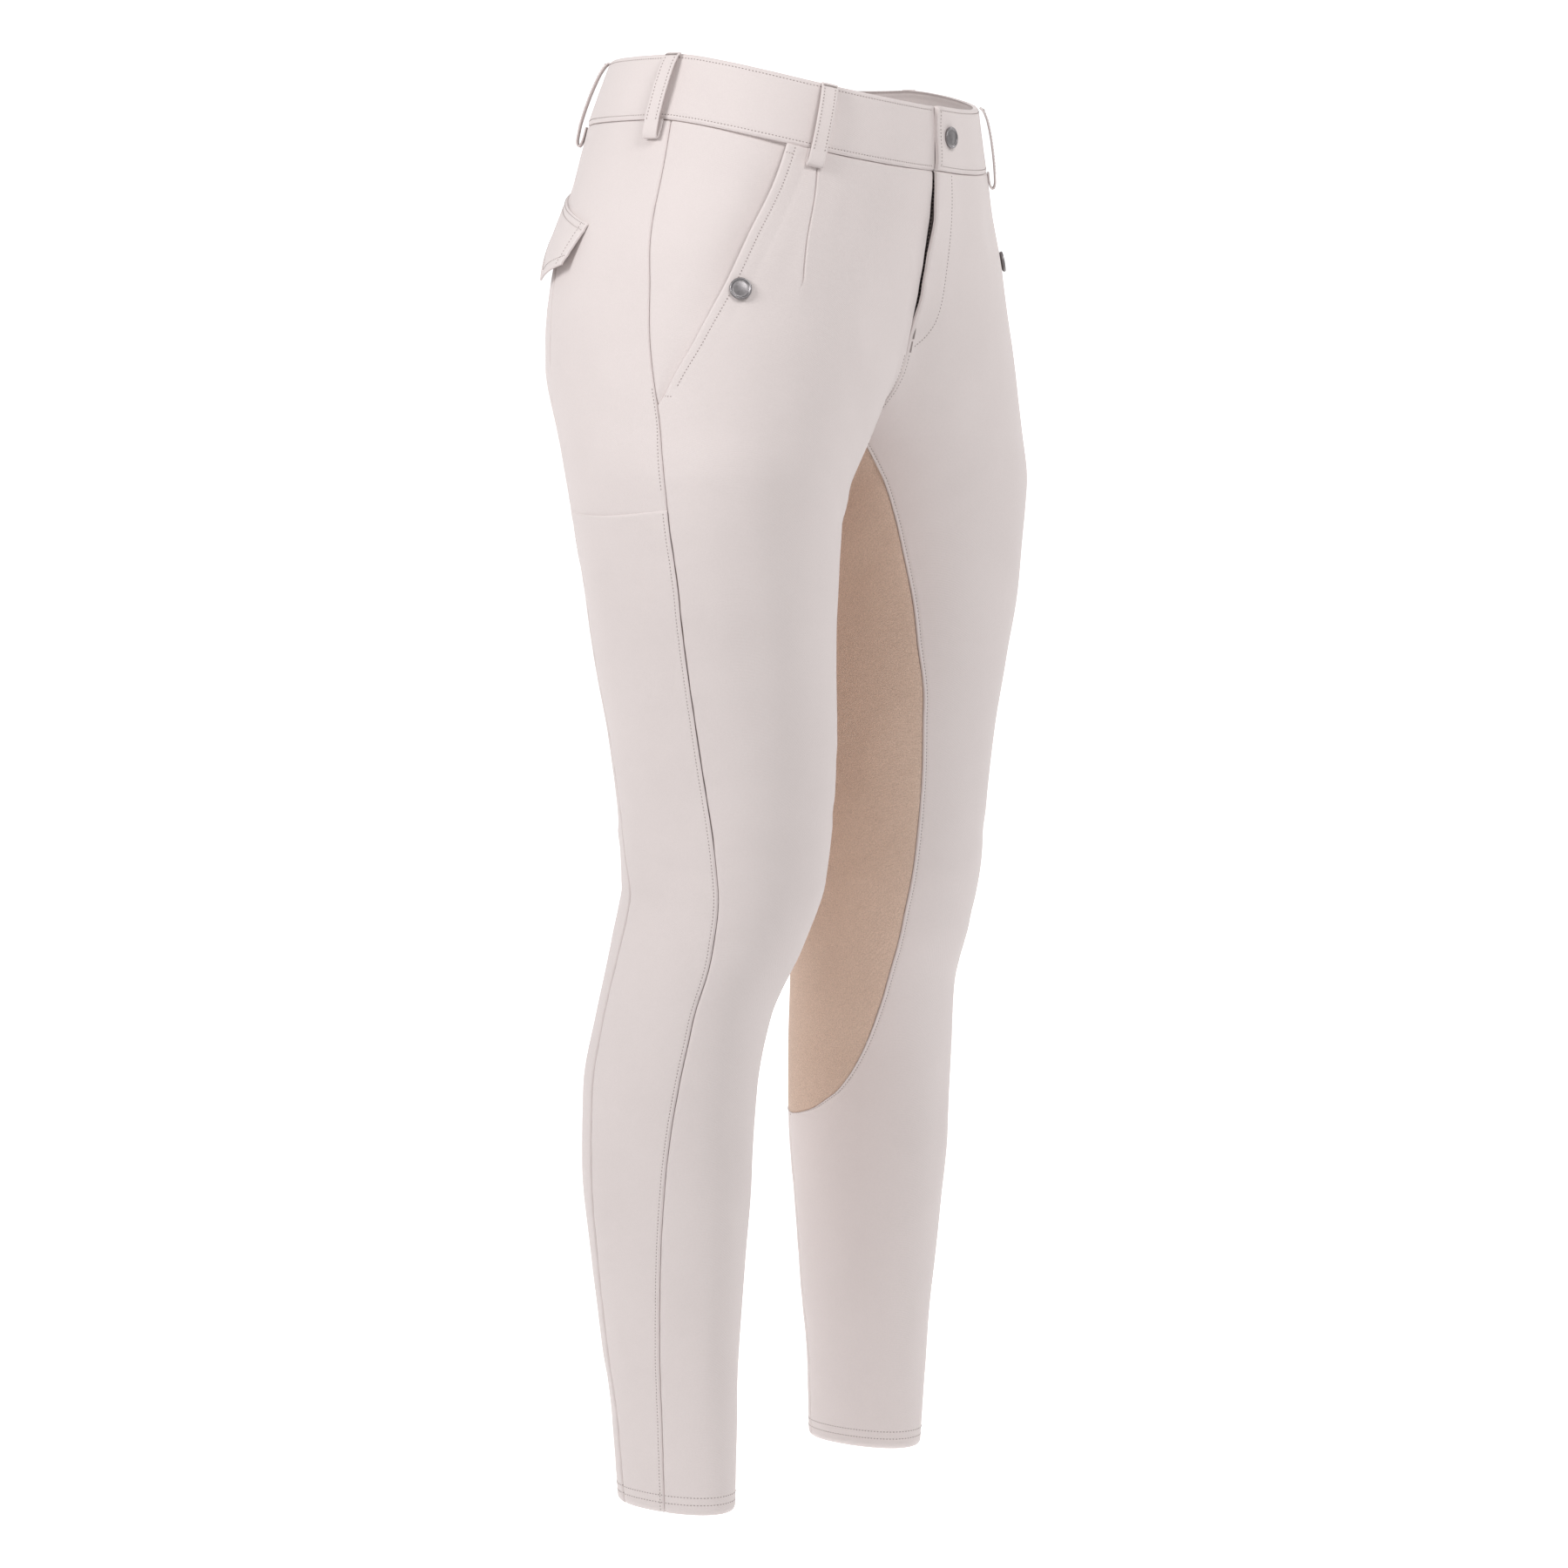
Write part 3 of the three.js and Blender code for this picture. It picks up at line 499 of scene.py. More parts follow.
def creases(panel, rows):
    """Soft troughs and ridges laid on a panel, each one bent a little along its length."""
    total = np.zeros_like(panel.up)
    scale = np.radians(smooth(SECTIONS, "half_y", panel.up))
    for up, turn, length, width, depth, lean in rows:
        across, rise = (panel.turn - turn) * scale, panel.up - up
        angle = np.radians(lean)
        along = rise * np.cos(angle) + across * np.sin(angle)
        beside = across * np.cos(angle) - rise * np.sin(angle) + 0.12 * width * np.sin(along / 17 + up)
        taper = bell(2 * along, length)
        total += depth * taper * bell(beside, width * (0.6 + 0.4 * taper))
    return total


def ripple(along, across, seed, size=0.12, reach=9.0):
    """Small uneven pucker that fades away from a seam."""
    short = np.sin(along / 4.1 + seed) + 0.7 * np.sin(along / 2.7 + 2.3 * seed)
    wave = short + 0.5 * np.sin(along / 9.3 + seed)
    return size * wave * np.exp(-across / reach)


def node_material(name):
    material = bpy.data.materials.new(name)
    material.use_nodes = True
    nodes = material.node_tree.nodes
    return material, nodes, material.node_tree.links, nodes["Principled BSDF"]


def add_node(nodes, kind, inputs=(), **settings):
    """Shader node with its settings and the values of its unlinked inputs."""
    node = nodes.new("ShaderNode" + kind)
    for key, value in settings.items():
        setattr(node, key, value)
    for key, value in dict(inputs).items():
        node.inputs[key].default_value = value
    return node


def linear(colour):
    """Linear colour of an sRGB one given in 0 to 255."""
    parts = np.array(colour) / 255
    return tuple(np.where(parts < 0.04, parts / 12.92, ((parts + 0.055) / 1.055) ** 2.4).tolist())


def colour_ramp(nodes, pale, dark, low=0.0, high=1.0):
    ramp = add_node(nodes, "ValToRGB")
    for element, place, colour in zip(ramp.color_ramp.elements, (low, high), (dark, pale)):
        element.position = place
        element.color = (*linear(colour), 1)
    return ramp


def cloth_material(name, pale, dark, grain, rough, sheen, bump, patchy=0.55, spread=0.2):
    """Smooth stretch cloth: a fine weave, faint mottling and a soft nap."""
    material, nodes, links, shader = node_material(name)
    shader.inputs["Roughness"].default_value = rough
    shader.inputs["Sheen Weight"].default_value = sheen
    shader.inputs["Sheen Roughness"].default_value = 0.5
    shader.inputs["Specular IOR Level"].default_value = 0.25
    place = add_node(nodes, "TexCoord").outputs["Object"]
    mottle = add_node(nodes, "TexNoise", {"Scale": 14, "Detail": 3})
    fine = add_node(nodes, "TexNoise", {"Scale": grain, "Detail": 4})
    blend = add_node(nodes, "Math", {1: 1 - patchy}, operation="MULTIPLY_ADD")
    half = add_node(nodes, "Math", {1: patchy}, operation="MULTIPLY")
    ramp = colour_ramp(nodes, pale, dark, 0.5 - spread, 0.5 + spread)
    links.new(place, mottle.inputs["Vector"])
    links.new(place, fine.inputs["Vector"])
    links.new(mottle.outputs["Fac"], half.inputs[0])
    links.new(fine.outputs["Fac"], blend.inputs[0])
    links.new(half.outputs["Value"], blend.inputs[2])
    links.new(blend.outputs["Value"], ramp.inputs["Fac"])
    links.new(ramp.outputs["Color"], shader.inputs["Base Color"])
    weave_look = {"Scale": 420, "Distortion": 1.2, "Detail": 1}
    weave = add_node(nodes, "TexWave", weave_look, bands_direction="DIAGONAL")
    total = add_node(nodes, "Math", {1: 0.5}, operation="MULTIPLY_ADD")
    raised = add_node(nodes, "Bump", {"Strength": bump, "Distance": 0.0002})
    links.new(place, weave.inputs["Vector"])
    links.new(weave.outputs["Fac"], total.inputs[0])
    links.new(fine.outputs["Fac"], total.inputs[2])
    links.new(total.outputs["Value"], raised.inputs["Height"])
    links.new(raised.outputs["Normal"], shader.inputs["Normal"])
    return material


def metal_material(name, pale, dark):
    """Satin cast metal with faint tarnish."""
    material, nodes, links, shader = node_material(name)
    shader.inputs["Metallic"].default_value = 1.0
    noise = add_node(nodes, "TexNoise", {"Scale": 700})
    ramp = colour_ramp(nodes, pale, dark)
    gloss = add_node(nodes, "MapRange", {"To Min": 0.34, "To Max": 0.45})
    place = add_node(nodes, "TexCoord")
    links.new(place.outputs["Object"], noise.inputs["Vector"])
    links.new(noise.outputs["Fac"], ramp.inputs["Fac"])
    links.new(noise.outputs["Fac"], gloss.inputs["Value"])
    links.new(ramp.outputs["Color"], shader.inputs["Base Color"])
    links.new(gloss.outputs["Result"], shader.inputs["Roughness"])
    return material


# Name, pale and dark colour in sRGB, then grain, roughness, sheen, bump and, for the suede, its mottling.
CLOTH = cloth_material("stretch_cloth", (219, 209, 207), (213, 203, 201), 900, 0.82, 0.12, 0.25)
GRIP = cloth_material("grip_suede", (216, 190, 173), (188, 163, 147), 1300, 0.95, 0.1, 1.0, 0.15, 0.15)
THREAD = cloth_material("sewing_thread", (172, 160, 157), (148, 137, 134), 3000, 0.7, 0.2, 0.6)
TAPE = cloth_material("zip_tape", (205, 194, 190), (190, 178, 174), 2000, 0.8, 0.2, 0.8)
METAL = metal_material("snap_metal", (160, 156, 157), (122, 118, 120))


def make_mesh(name, points, faces, material, sharp=50):
    """Object of a mesh given in millimetres."""
    mesh = bpy.data.meshes.new(name)
    mesh.from_pydata((np.asarray(points) * MM).tolist(), [], faces)
    mesh.update()
    mesh.polygons.foreach_set("use_smooth", [True] * len(mesh.polygons))
    mesh.set_sharp_from_angle(angle=math.radians(sharp))
    mesh.materials.append(material)
    piece = bpy.data.objects.new(name, mesh)
    bpy.context.scene.collection.objects.link(piece)
    return piece


def grid_faces(rows, columns, start=0, flip=False):
    index = start + np.arange(rows * columns).reshape(rows, columns)
    quads = np.stack([index[:-1, :-1], index[:-1, 1:], index[1:, 1:], index[1:, :-1]], -1).reshape(-1, 4)
    return quads[:, ::-1] if flip else quads


def rim_faces(rows, columns, under):
    index = np.arange(rows * columns).reshape(rows, columns)
    border = np.concatenate([index[0, :-1], index[:-1, -1], index[-1, :0:-1], index[:0:-1, 0]])
    after = np.roll(border, -1)
    return np.stack([border, border + under, after + under, after], -1)


def tube_faces(index):
    """Quads of a tube whose rings of points are the rows of an index table."""
    after = np.roll(index, -1, 1)
    return np.stack([index[:-1], after[:-1], after[1:], index[1:]], -1).reshape(-1, 4)


def fix_normals(piece):
    work = bmesh.new()
    work.from_mesh(piece.data)
    bmesh.ops.recalc_face_normals(work, faces=work.faces)
    work.to_mesh(piece.data)
    work.free()


def shell(name, panel, material, thickness=SHELL):
    """Closed thin shell of a panel, with its edges."""
    rows, columns = panel.turn.shape
    outer = panel.points().reshape(-1, 3)
    inner = panel.points(-np.broadcast_to(thickness, panel.turn.shape)).reshape(-1, 3)
    under = len(outer)
    flip = panel.side < 0
    faces = [grid_faces(rows, columns, 0, flip), grid_faces(rows, columns, under, not flip)]
    rim = rim_faces(rows, columns, under)
    faces.append(rim[:, ::-1] if flip else rim)
    return make_mesh(name, np.concatenate([outer, inner]), np.concatenate(faces).tolist(), material)


def declare(piece, node):
    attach(piece, "root")
    if node:
        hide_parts(node)


def add_cloth(name, panel, material=CLOTH, thickness=SHELL):
    piece = shell("cloth_" + name, panel, material, thickness)
    declare(piece, name)
    return piece


def dart_distance(panel, high, low):
    """Distances beside and past the lower end of a dart line between two (up, turn) places."""
    share = (panel.up - low[0]) / (high[0] - low[0])
    turn = mix(low[1], high[1], share)
    scale = np.radians(smooth(SECTIONS, "half_x", panel.up)) * 1.05
    return (panel.turn - turn) * scale, -share * (high[0] - low[0])


def over_grip(edge_up, top):
    """1 on the rows of a leg panel whose edge is turned onto the grip panel, 0 on the others."""
    return (ease((edge_up - GRIP_LOW + 2) / 4) * (1 - ease((edge_up - top + 4) / 6)))[:, None]


def front_panel(side):
    """Front leg, which laps over at the fly on the left and stands open at the slanted pocket."""
    steps = level_steps(0, TOP_LEVEL)
    inner_up, outer_up = smooth(LEVELS, "front", steps), smooth(LEVELS, "pocket", steps)
    edge = mix(front_side(outer_up), slant(outer_up), ease((outer_up - SLANT_LOW + 4) / 5))
    high, low = DARTS["left" if side > 0 else "right"]

    def guide(up):
        share = np.clip((up - low[0]) / (high[0] - low[0]), 0, 1)
        return mix(low[1], high[1], share)

    panel = Panel(front_inner(inner_up), inner_up, edge, outer_up, 60, side, guide)
    pocket = outer_up[:, None] > SLANT_LOW
    gape = gape_lift(outer_up)[:, None] * mix(0.3, 1, 1 - np.clip(panel.end / SLANT_TURN_IN, 0, 1))
    gape = gape * (1 - ease((panel.end - SLANT_TURN_IN) / 20))
    open_edge = gape + roll(panel.end, 0.7, 0.7) + trough(panel.end, SLANT_STITCH, 0.35)
    panel.lift += np.where(pocket, open_edge, roll(panel.end)) + roll(panel.high)
    beside, past = dart_distance(panel, high, low)
    fade = 1 - ease(past / 8)
    panel.lift += trough(beside, 0, 1.3, 0.45) * fade + 0.5 * bell(beside, 7) * (1 - ease(past / 30))
    above = ease((panel.up - FLY_LOW + 4) / 6) * (panel.turn < FRONT_MIDDLE)
    if side > 0:
        bulge = FLY_BULGE * bell(panel.up - FLY_GAPE, 22) * np.exp(-panel.x / 12)
        bulge += 0.35 * np.sin(panel.up / 9.5) * np.exp(-panel.x / 7)
        edge_roll = roll(panel.start, 1.0, 1.0) + trough(panel.x, 21.8, 0.25, 1.2)
        panel.lift += above * (fly_lift(panel.x, panel.up) + bulge + edge_roll)
        panel.lift += (1 - above) * (roll(panel.start) + trough(panel.start, 2.4, 0.15))
    else:
        panel.lift += roll(panel.start) + (1 - above) * trough(panel.start, 2.4, 0.12)
        panel.lift -= 0.4 * above * bell(panel.x, 13)
    panel.lift += over_grip(inner_up, GRIP_FRONT_TOP) * folded(panel.start)
    panel.lift += ripple(panel.along, panel.end, 1.0) + ripple(panel.along, panel.start, 4.0)
    panel.lift += creases(panel, FRONT_CREASES) + hem(panel.low)
    return panel


def facing_panel(side):
    """Cloth seen in the opening of the slanted pocket, hollow beside the turned edge."""
    steps = level_steps(SLANT_FIRST - 1, TOP_LEVEL)
    up = smooth(LEVELS, "pocket", steps)
    edge = slant(up)
    reach = np.linalg.norm(skin(edge, up) - skin(edge - 1, up), axis=1)
    start = edge - SLANT_TURN_IN / reach
    panel = Panel(start, up, front_side(up), up, 16, side)
    shown = np.clip((panel.turn - edge[:, None]) / np.maximum(front_side(up) - edge, 0.5)[:, None], 0, 1)
    rise = ease((up - (SLANT_LOW - 10)) / 12)[:, None]
    panel.lift += -FACING_DEPTH * (1 - ease(shown * 1.2) * rise) + roll(panel.end) + roll(panel.high)
    beside = (panel.turn - edge[:, None]) * reach[:, None]
    open_part = np.sin(np.pi * np.clip((up - 760) / (BAND_LOW - FLY_LOW), 0, 1))[:, None]
    panel.lift -= 2.6 * open_part * bell(np.maximum(beside, 0), 13)
    return panel


def calf_seam(up):
    """How much deeper the outer back seam lies on the lower leg."""
    return 1 + 0.9 * (1 - ease((up - 380) / 70))


def side_panel(first, last, side, depth=0.0):
    """Side of the leg: the outer layer of the phone pocket, or with a depth the layer beneath it."""
    steps = level_steps(first, last)
    start, end = smooth(LEVELS, "pocket", steps), smooth(LEVELS, "side", steps)
    panel = Panel(front_side(start), start, side_back(end), end, 30, side)
    if not depth:
        share = panel.across / panel.across[:, -1:]
        sag = 3.2 * np.sin(np.pi * share) ** 1.2 * ease((panel.up - PHONE_EDGE + 60) / 60)
        panel.set_grid(panel.turn, panel.up - sag, side)
    panel.lift += roll(panel.start) + roll(panel.end) * calf_seam(panel.up)
    panel.lift += ripple(panel.along, panel.start, 2.0) + ripple(panel.along, panel.end, 5.0)
    panel.lift += creases(panel, SIDE_CREASES)
    if depth:
        beneath = 1 - 0.85 * ease((panel.up - PHONE_EDGE + 9) / 6)
        panel.lift += roll(panel.high) - depth * beneath * (1 - ease((panel.up - PHONE_EDGE) / 30))
    else:
        pocket = ease((panel.up - PHONE_SEAM_LOW) / 6)
        panel.lift += pocket * (0.7 * bell(panel.start, 4.5, 4) - 0.5 * roll(panel.start))
        panel.lift += trough(panel.start, EDGE_STITCH, 0.2 + 0.2 * pocket)
        mouth = ease((panel.up - PHONE_EDGE + 16) / 14) * np.sin(np.pi * share) ** 0.7
        panel.lift += 0.6 * mouth + hem(panel.low) + roll(panel.high, 0.7, 0.7)
    return panel


def back_panel(side):
    steps = level_steps(0, TOP_LEVEL)
    start, end = smooth(LEVELS, "side", steps), smooth(LEVELS, "back", steps)
    panel = Panel(side_back(start), start, 360 + back_inner(end), end, 36, side)
    panel.lift += roll(panel.start) * calf_seam(panel.up) + roll(panel.end) + roll(panel.high)
    panel.lift += ripple(panel.along, panel.start, 3.0) + ripple(panel.along, panel.end, 6.0)
    turned = over_grip(end, GRIP_BACK_TOP)
    panel.lift += turned * folded(panel.end) + (1 - turned) * trough(panel.end, EDGE_STITCH, 0.25)
    panel.lift += creases(panel, BACK_CREASES) + hem(panel.low)
    return panel


def grip_panel(side):
    panel = Grip(side)
    for distance in (panel.start, panel.end, panel.low):
        panel.lift += roll(distance, 0.7, 2.0)
    panel.lift += roll(panel.high) + creases(panel, GRIP_CREASES)
    return panel


def waistband(side):
    """Waistband half; the right one runs on under the left one at the front."""
    up = np.unique(np.concatenate([
        BAND_LOW + 0.3 + EDGE_STEPS, OUTSEAM - EDGE_STEPS, np.linspace(BAND_LOW + 7, OUTSEAM - 7, 9),
    ]))
    start, end = centre_turn(up), 360 - centre_turn(up)
    panel = Panel(start, up, end, up, 170, side)
    if side < 0:
        under = np.linspace(UNDERLAP, 1.0, UNDER_COLUMNS)
        turn = np.array([np.concatenate([centre_turn(u, under), row]) for u, row in zip(up, panel.turn)])
        panel.set_grid(turn, np.broadcast_to(up[:, None], turn.shape).copy(), side)
        panel.cross[:, :UNDER_COLUMNS] = -1
        panel.start = np.maximum(panel.start - panel.start[:, UNDER_COLUMNS, None], 0)
        beneath = np.concatenate([under / UNDERLAP * 2.6, np.zeros(turn.shape[1] - UNDER_COLUMNS)])
        panel.lift += BAND_LIFT - beneath - 1.0 * bell(panel.across, 2 * UNDERLAP, 6)
    else:
        lap = fly_lift(panel.x, OUTSEAM) + 0.5 * np.sin((panel.up - BAND_LOW) / 7) * np.exp(-panel.x / 9)
        lap += roll(panel.start, 1.1, 1.0) + trough(panel.start, EDGE_STITCH, 0.3)
        panel.lift += BAND_LIFT + np.where(panel.turn < FRONT_MIDDLE, lap, 0)
    panel.lift += roll(panel.low, 0.9, 0.9) + roll(panel.high, 1.1, 1.1) + roll(panel.end)
    panel.lift += trough(panel.low, BAND_STITCH, 0.35) + trough(panel.high, BAND_STITCH, 0.35)
    height = (panel.up - BAND_LOW) / (OUTSEAM - BAND_LOW)
    panel.lift += 0.22 * np.sin(panel.across / 23) * np.sin(np.pi * height)
    panel.lift += ripple(panel.across, panel.low, 7.0, 0.1, 5)
    panel.lift += ripple(panel.across, panel.high, 8.0, 0.08, 5)
    return panel


def centre_strip(distances, depth, high=BAND_LOW):
    """Strip behind the fly that crosses the centre line."""
    up = np.linspace(FLY_LOW, high, 28)
    distances = np.array(distances, float)
    turn = np.array([centre_turn(u, np.abs(distances)) for u in up])
    panel = Panel.__new__(Panel)
    panel.set_grid(turn, np.broadcast_to(up[:, None], turn.shape).copy(), 1)
    panel.cross[:] = np.where(distances < 0, -1, 1)
    panel.lift -= depth
    return panel


def zip_teeth():
    """Two rows of teeth along the zip tape, as one joined mesh."""
    corners = np.array([(a, b, c) for a in (-0.5, 0.5) for b in (-0.5, 0.5) for c in (-0.5, 0.5)])
    sides = np.array([(0, 1, 3, 2), (4, 6, 7, 5), (0, 4, 5, 1), (2, 3, 7, 6), (0, 2, 6, 4), (1, 5, 7, 3)])
    points, faces = [], []
    for i, up in enumerate(np.arange(FLY_LOW + 4, BAND_LOW - 6, 1.5)):
        turn = centre_turn(up)
        out = outward(turn, up)
        rise = unit(skin(turn, up + 1) - skin(turn, up - 1))
        across = unit(np.cross(rise, out))
        middle = skin(turn, up) - 2.1 * out + across * (1.0 + (0.8 if i % 2 else -0.8))
        points.append(middle + corners @ np.array([across * 2.6, out * 1.0, rise * 1.1]))
        faces.append(sides + 8 * i)
    piece = make_mesh("zip_teeth", np.concatenate(points), np.concatenate(faces).tolist(), METAL)
    fix_normals(piece)
    declare(piece, None)


def flap_panel(side):
    """Pointed flap that stands a little off the seat."""
    first, last = [0, 0.02, 0.05, 0.1, 0.13, 0.17], [0.9, 0.94, 0.97, 0.985, 1]
    down = np.concatenate([first, np.linspace(0.24, 0.86, 8), last])
    edge = np.array([0, 0.005, 0.012, 0.022, 0.035])
    share = np.concatenate([edge, np.linspace(0.06, 0.94, 31), 1 - edge[::-1]])
    share, down = np.meshgrid(share, down)
    tilt = math.radians(FLAP["tilt"])
    drop = down * (FLAP["side"] + FLAP["point"] * (1 - np.sqrt((2 * share - 1) ** 2 + 0.002)))
    along = mix(down * FLAP["taper"], FLAP["width"] - down * FLAP["taper"], share)
    turn = FLAP["turn"] + (along * math.cos(tilt) + drop * math.sin(tilt)) / FLAP["per_degree"]
    up = FLAP["up"] + along * math.sin(tilt) - drop * math.cos(tilt)
    panel = Panel.__new__(Panel)
    panel.set_grid(turn[::-1], up[::-1], side)
    panel.high = drop[::-1]
    panel.low = (drop[-1:] - drop)[::-1]
    panel.lift += FLAP["lift"] + FLAP["hang"] * down[::-1] ** 1.3
    for distance in (panel.start, panel.end, panel.low):
        panel.lift += roll(distance, 0.5, 0.7) + trough(distance, FLAP_STITCH, 0.3)
    panel.lift += roll(panel.high, 0.9, 0.9) + trough(panel.high, FLAP_TOP_STITCHES[0], 0.5, 1.0)
    panel.lift += 0.5 * np.sin(along[::-1] / 13) * down[::-1]
    return panel


def spline(points, count):
    """Evenly spaced points on a smooth curve through the given ones."""
    points = np.asarray(points, float)
    padded = np.vstack([2 * points[0] - points[1], points, 2 * points[-1] - points[-2]])
    t = np.linspace(0, len(points) - 1, count * 8)
    i = np.minimum(t.astype(int), len(points) - 2)
    f = (t - i)[:, None]
    a, b, c, d = (padded[i + k] for k in range(4))
    curve = b + 0.5 * f * (c - a + f * (2 * a - 5 * b + 4 * c - d + f * (3 * (b - c) + d - a)))
    reach = reach_along(curve)
    even = np.linspace(0, reach[-1], count)
    return np.stack([np.interp(even, reach, curve[:, k]) for k in range(points.shape[1])], -1)


def loop_frame(turn, side, count=64):
    """Centre line, width direction and outward direction along a belt loop."""
    path = spline(LOOP_PATH, count)
    up, lift = path.T
    centre = skin(turn, up) + outward(turn, up) * lift[:, None]
    middle = np.full(count, LOOP_MIDDLE)
    across = unit(skin(turn + 1, middle) - skin(turn - 1, middle))
    ahead = unit(np.gradient(centre, axis=0))
    out = unit(np.cross(ahead, across))
    flip = np.array([side, 1, 1])
    return centre * flip, across * flip, out * flip * np.sign(out[20] @ outward(turn, LOOP_MIDDLE))


def belt_loop(name, turn, side):
    """Folded strap with soft rounded edges."""
    centre, across, out = loop_frame(turn, side)
    angle = np.linspace(0, 2 * np.pi, 20, endpoint=False)
    wide = LOOP_HALF * signed_power(np.cos(angle), 0.3)
    thick = 0.72 * signed_power(np.sin(angle), 0.6)
    thick = thick + np.where(np.sin(angle) > 0, trough(np.abs(wide), LOOP_STITCH, 0.12, 0.7), 0)
    points = centre[:, None] + across[:, None] * wide[None, :, None] + out[:, None] * thick[None, :, None]
    count, around = points.shape[:2]
    index = np.arange(count * around).reshape(count, around)
    faces = tube_faces(index).tolist() + [index[0, ::-1].tolist(), index[-1].tolist()]
    piece = make_mesh("cloth_" + name, points.reshape(-1, 3), faces, CLOTH)
    fix_normals(piece)
    declare(piece, name)
    return centre, across, out


def snap(name, turn, up, lift, side):
    flip = np.array([side, 1, 1])
    out = outward(turn, up)
    seat = (skin(turn, up) + out * lift) * flip
    out = out * flip
    across = unit(np.cross(out, [0, 0, 1.0]))
    rise = np.cross(across, out)
    angle = np.linspace(0, 2 * np.pi, 64, endpoint=False)
    section = np.array(SNAP_SECTION[1:-1])
    ring = across * np.cos(angle)[:, None] + rise * np.sin(angle)[:, None]
    points = seat + section[:, None, :1] * ring[None] + section[:, None, 1:] * out
    count = len(section)
    index = np.arange(count * 64).reshape(count, 64)
    points = np.concatenate([points.reshape(-1, 3), [seat + out * SNAP_SECTION[-1][1]]])
    top = [[int(a), int(b), len(points) - 1] for a, b in zip(index[-1], np.roll(index[-1], -1))]
    faces = tube_faces(index).tolist() + top + [index[0, ::-1].tolist()]
    piece = make_mesh("metal_" + name, points, faces, METAL, 40)
    fix_normals(piece)
    declare(piece, name)


thread_rows = {}


def sew(group, points, out, pitch=2.2, length=1.35, width=0.62, trim=1.5, sink=0.0):
    """Row of stitches along a line on the cloth."""
    reach = reach_along(points)
    count = max(int((reach[-1] - 2 * trim) / pitch), 1)
    middle = trim + (reach[-1] - 2 * trim) * (np.arange(count) + 0.5) / count
    sections = np.array([-1, -0.62, 0, 0.62, 1])
    size = np.array([0.3, 0.85, 1, 0.85, 0.3])
    rise = np.array([-0.22, 0.02, 0.1, 0.02, -0.22]) - sink
    spots = middle[:, None] + sections * length / 2
    at = np.stack([np.interp(spots, reach, points[:, k]) for k in range(3)], -1)
    up = unit(np.stack([np.interp(spots, reach, out[:, k]) for k in range(3)], -1))
    ahead = unit(at[:, -1:] - at[:, :1])
    across = unit(np.cross(up, ahead))
    angle = np.arange(6) * np.pi / 3
    wide, tall = np.cos(angle) * width / 2, np.sin(angle) * width * 0.42
    ring = across[:, :, None] * wide[:, None] + up[:, :, None] * tall[:, None]
    solid = at[:, :, None] + ring * size[:, None, None] + (up * rise[:, None])[:, :, None]
    thread_rows.setdefault(group, []).append(solid.reshape(count, 30, 3))


def tack(group, middle, out, ahead, length=9.0, width=2.2, count=12):
    """Bar tack: close short stitches side by side."""
    across = unit(np.cross(out, ahead))
    for place in np.linspace(-length / 2, length / 2, count):
        spot = middle + ahead * place
        line = np.array([spot - across * width / 2, spot + across * width / 2])
        sew(group, line, np.array([out, out]), pitch=width, length=width, width=0.6, trim=0, sink=-0.05)


def make_threads():
    """One joined mesh for each group of stitch rows."""
    ring = np.arange(30).reshape(5, 6)
    quads = tube_faces(ring)
    for group in ("fronts", "backs", "sides", "band", "loops", "flaps", "hems"):
        stitches = np.concatenate(thread_rows[group])
        shift = (np.arange(len(stitches)) * 30)[:, None, None]
        sides = (quads[None] + shift).reshape(-1, 4).tolist()
        ends = (np.stack([ring[0, ::-1], ring[-1]])[None] + shift).reshape(-1, 6).tolist()
        piece = make_mesh("thread_" + group, stitches.reshape(-1, 3), sides + ends, THREAD, 80)
        fix_normals(piece)
        declare(piece, None)


panels = {}
for tag, side in SIDES.items():
    panels["front_" + tag] = front_panel(side)
    panels["pocket_facing_" + tag] = facing_panel(side)
    panels["side_lower_" + tag] = side_panel(0, PHONE_LEVEL, side)
    panels["side_upper_" + tag] = side_panel(PHONE_LEVEL - 1, TOP_LEVEL, side, PHONE_DEPTH)
    panels["back_" + tag] = back_panel(side)
    panels["grip_" + tag] = grip_panel(side)
    panels["waistband_" + tag] = waistband(side)
    panels["back_pocket_flap_" + tag] = flap_panel(side)
panels["fly_shield"] = centre_strip(np.linspace(-18, 26, 18), 4.0)
for name, panel in panels.items():
    grip = name.startswith("grip")
    thickness = BAND_CLOTH if name.startswith("waistband") else SHELL
    if name == "front_left":
        lap = (panel.up > FLY_LOW) * (panel.turn < FRONT_MIDDLE)
        thickness = SHELL + 0.6 * lap * (1 - ease((panel.x - 2) / 8))
    if name.startswith("front"):
        turned = (panel.up > SLANT_LOW) * (panel.turn > FRONT_MIDDLE)
        thickness = thickness + 1.0 * turned * (1 - ease((panel.end - 2) / 6))
    add_cloth(name, panel, GRIP if grip else CLOTH, thickness)
zip_tape = shell("zip_tape", centre_strip(np.linspace(-12, 14, 14), 2.6), TAPE, 0.8)
declare(zip_tape, "fly_zip")
zip_teeth()

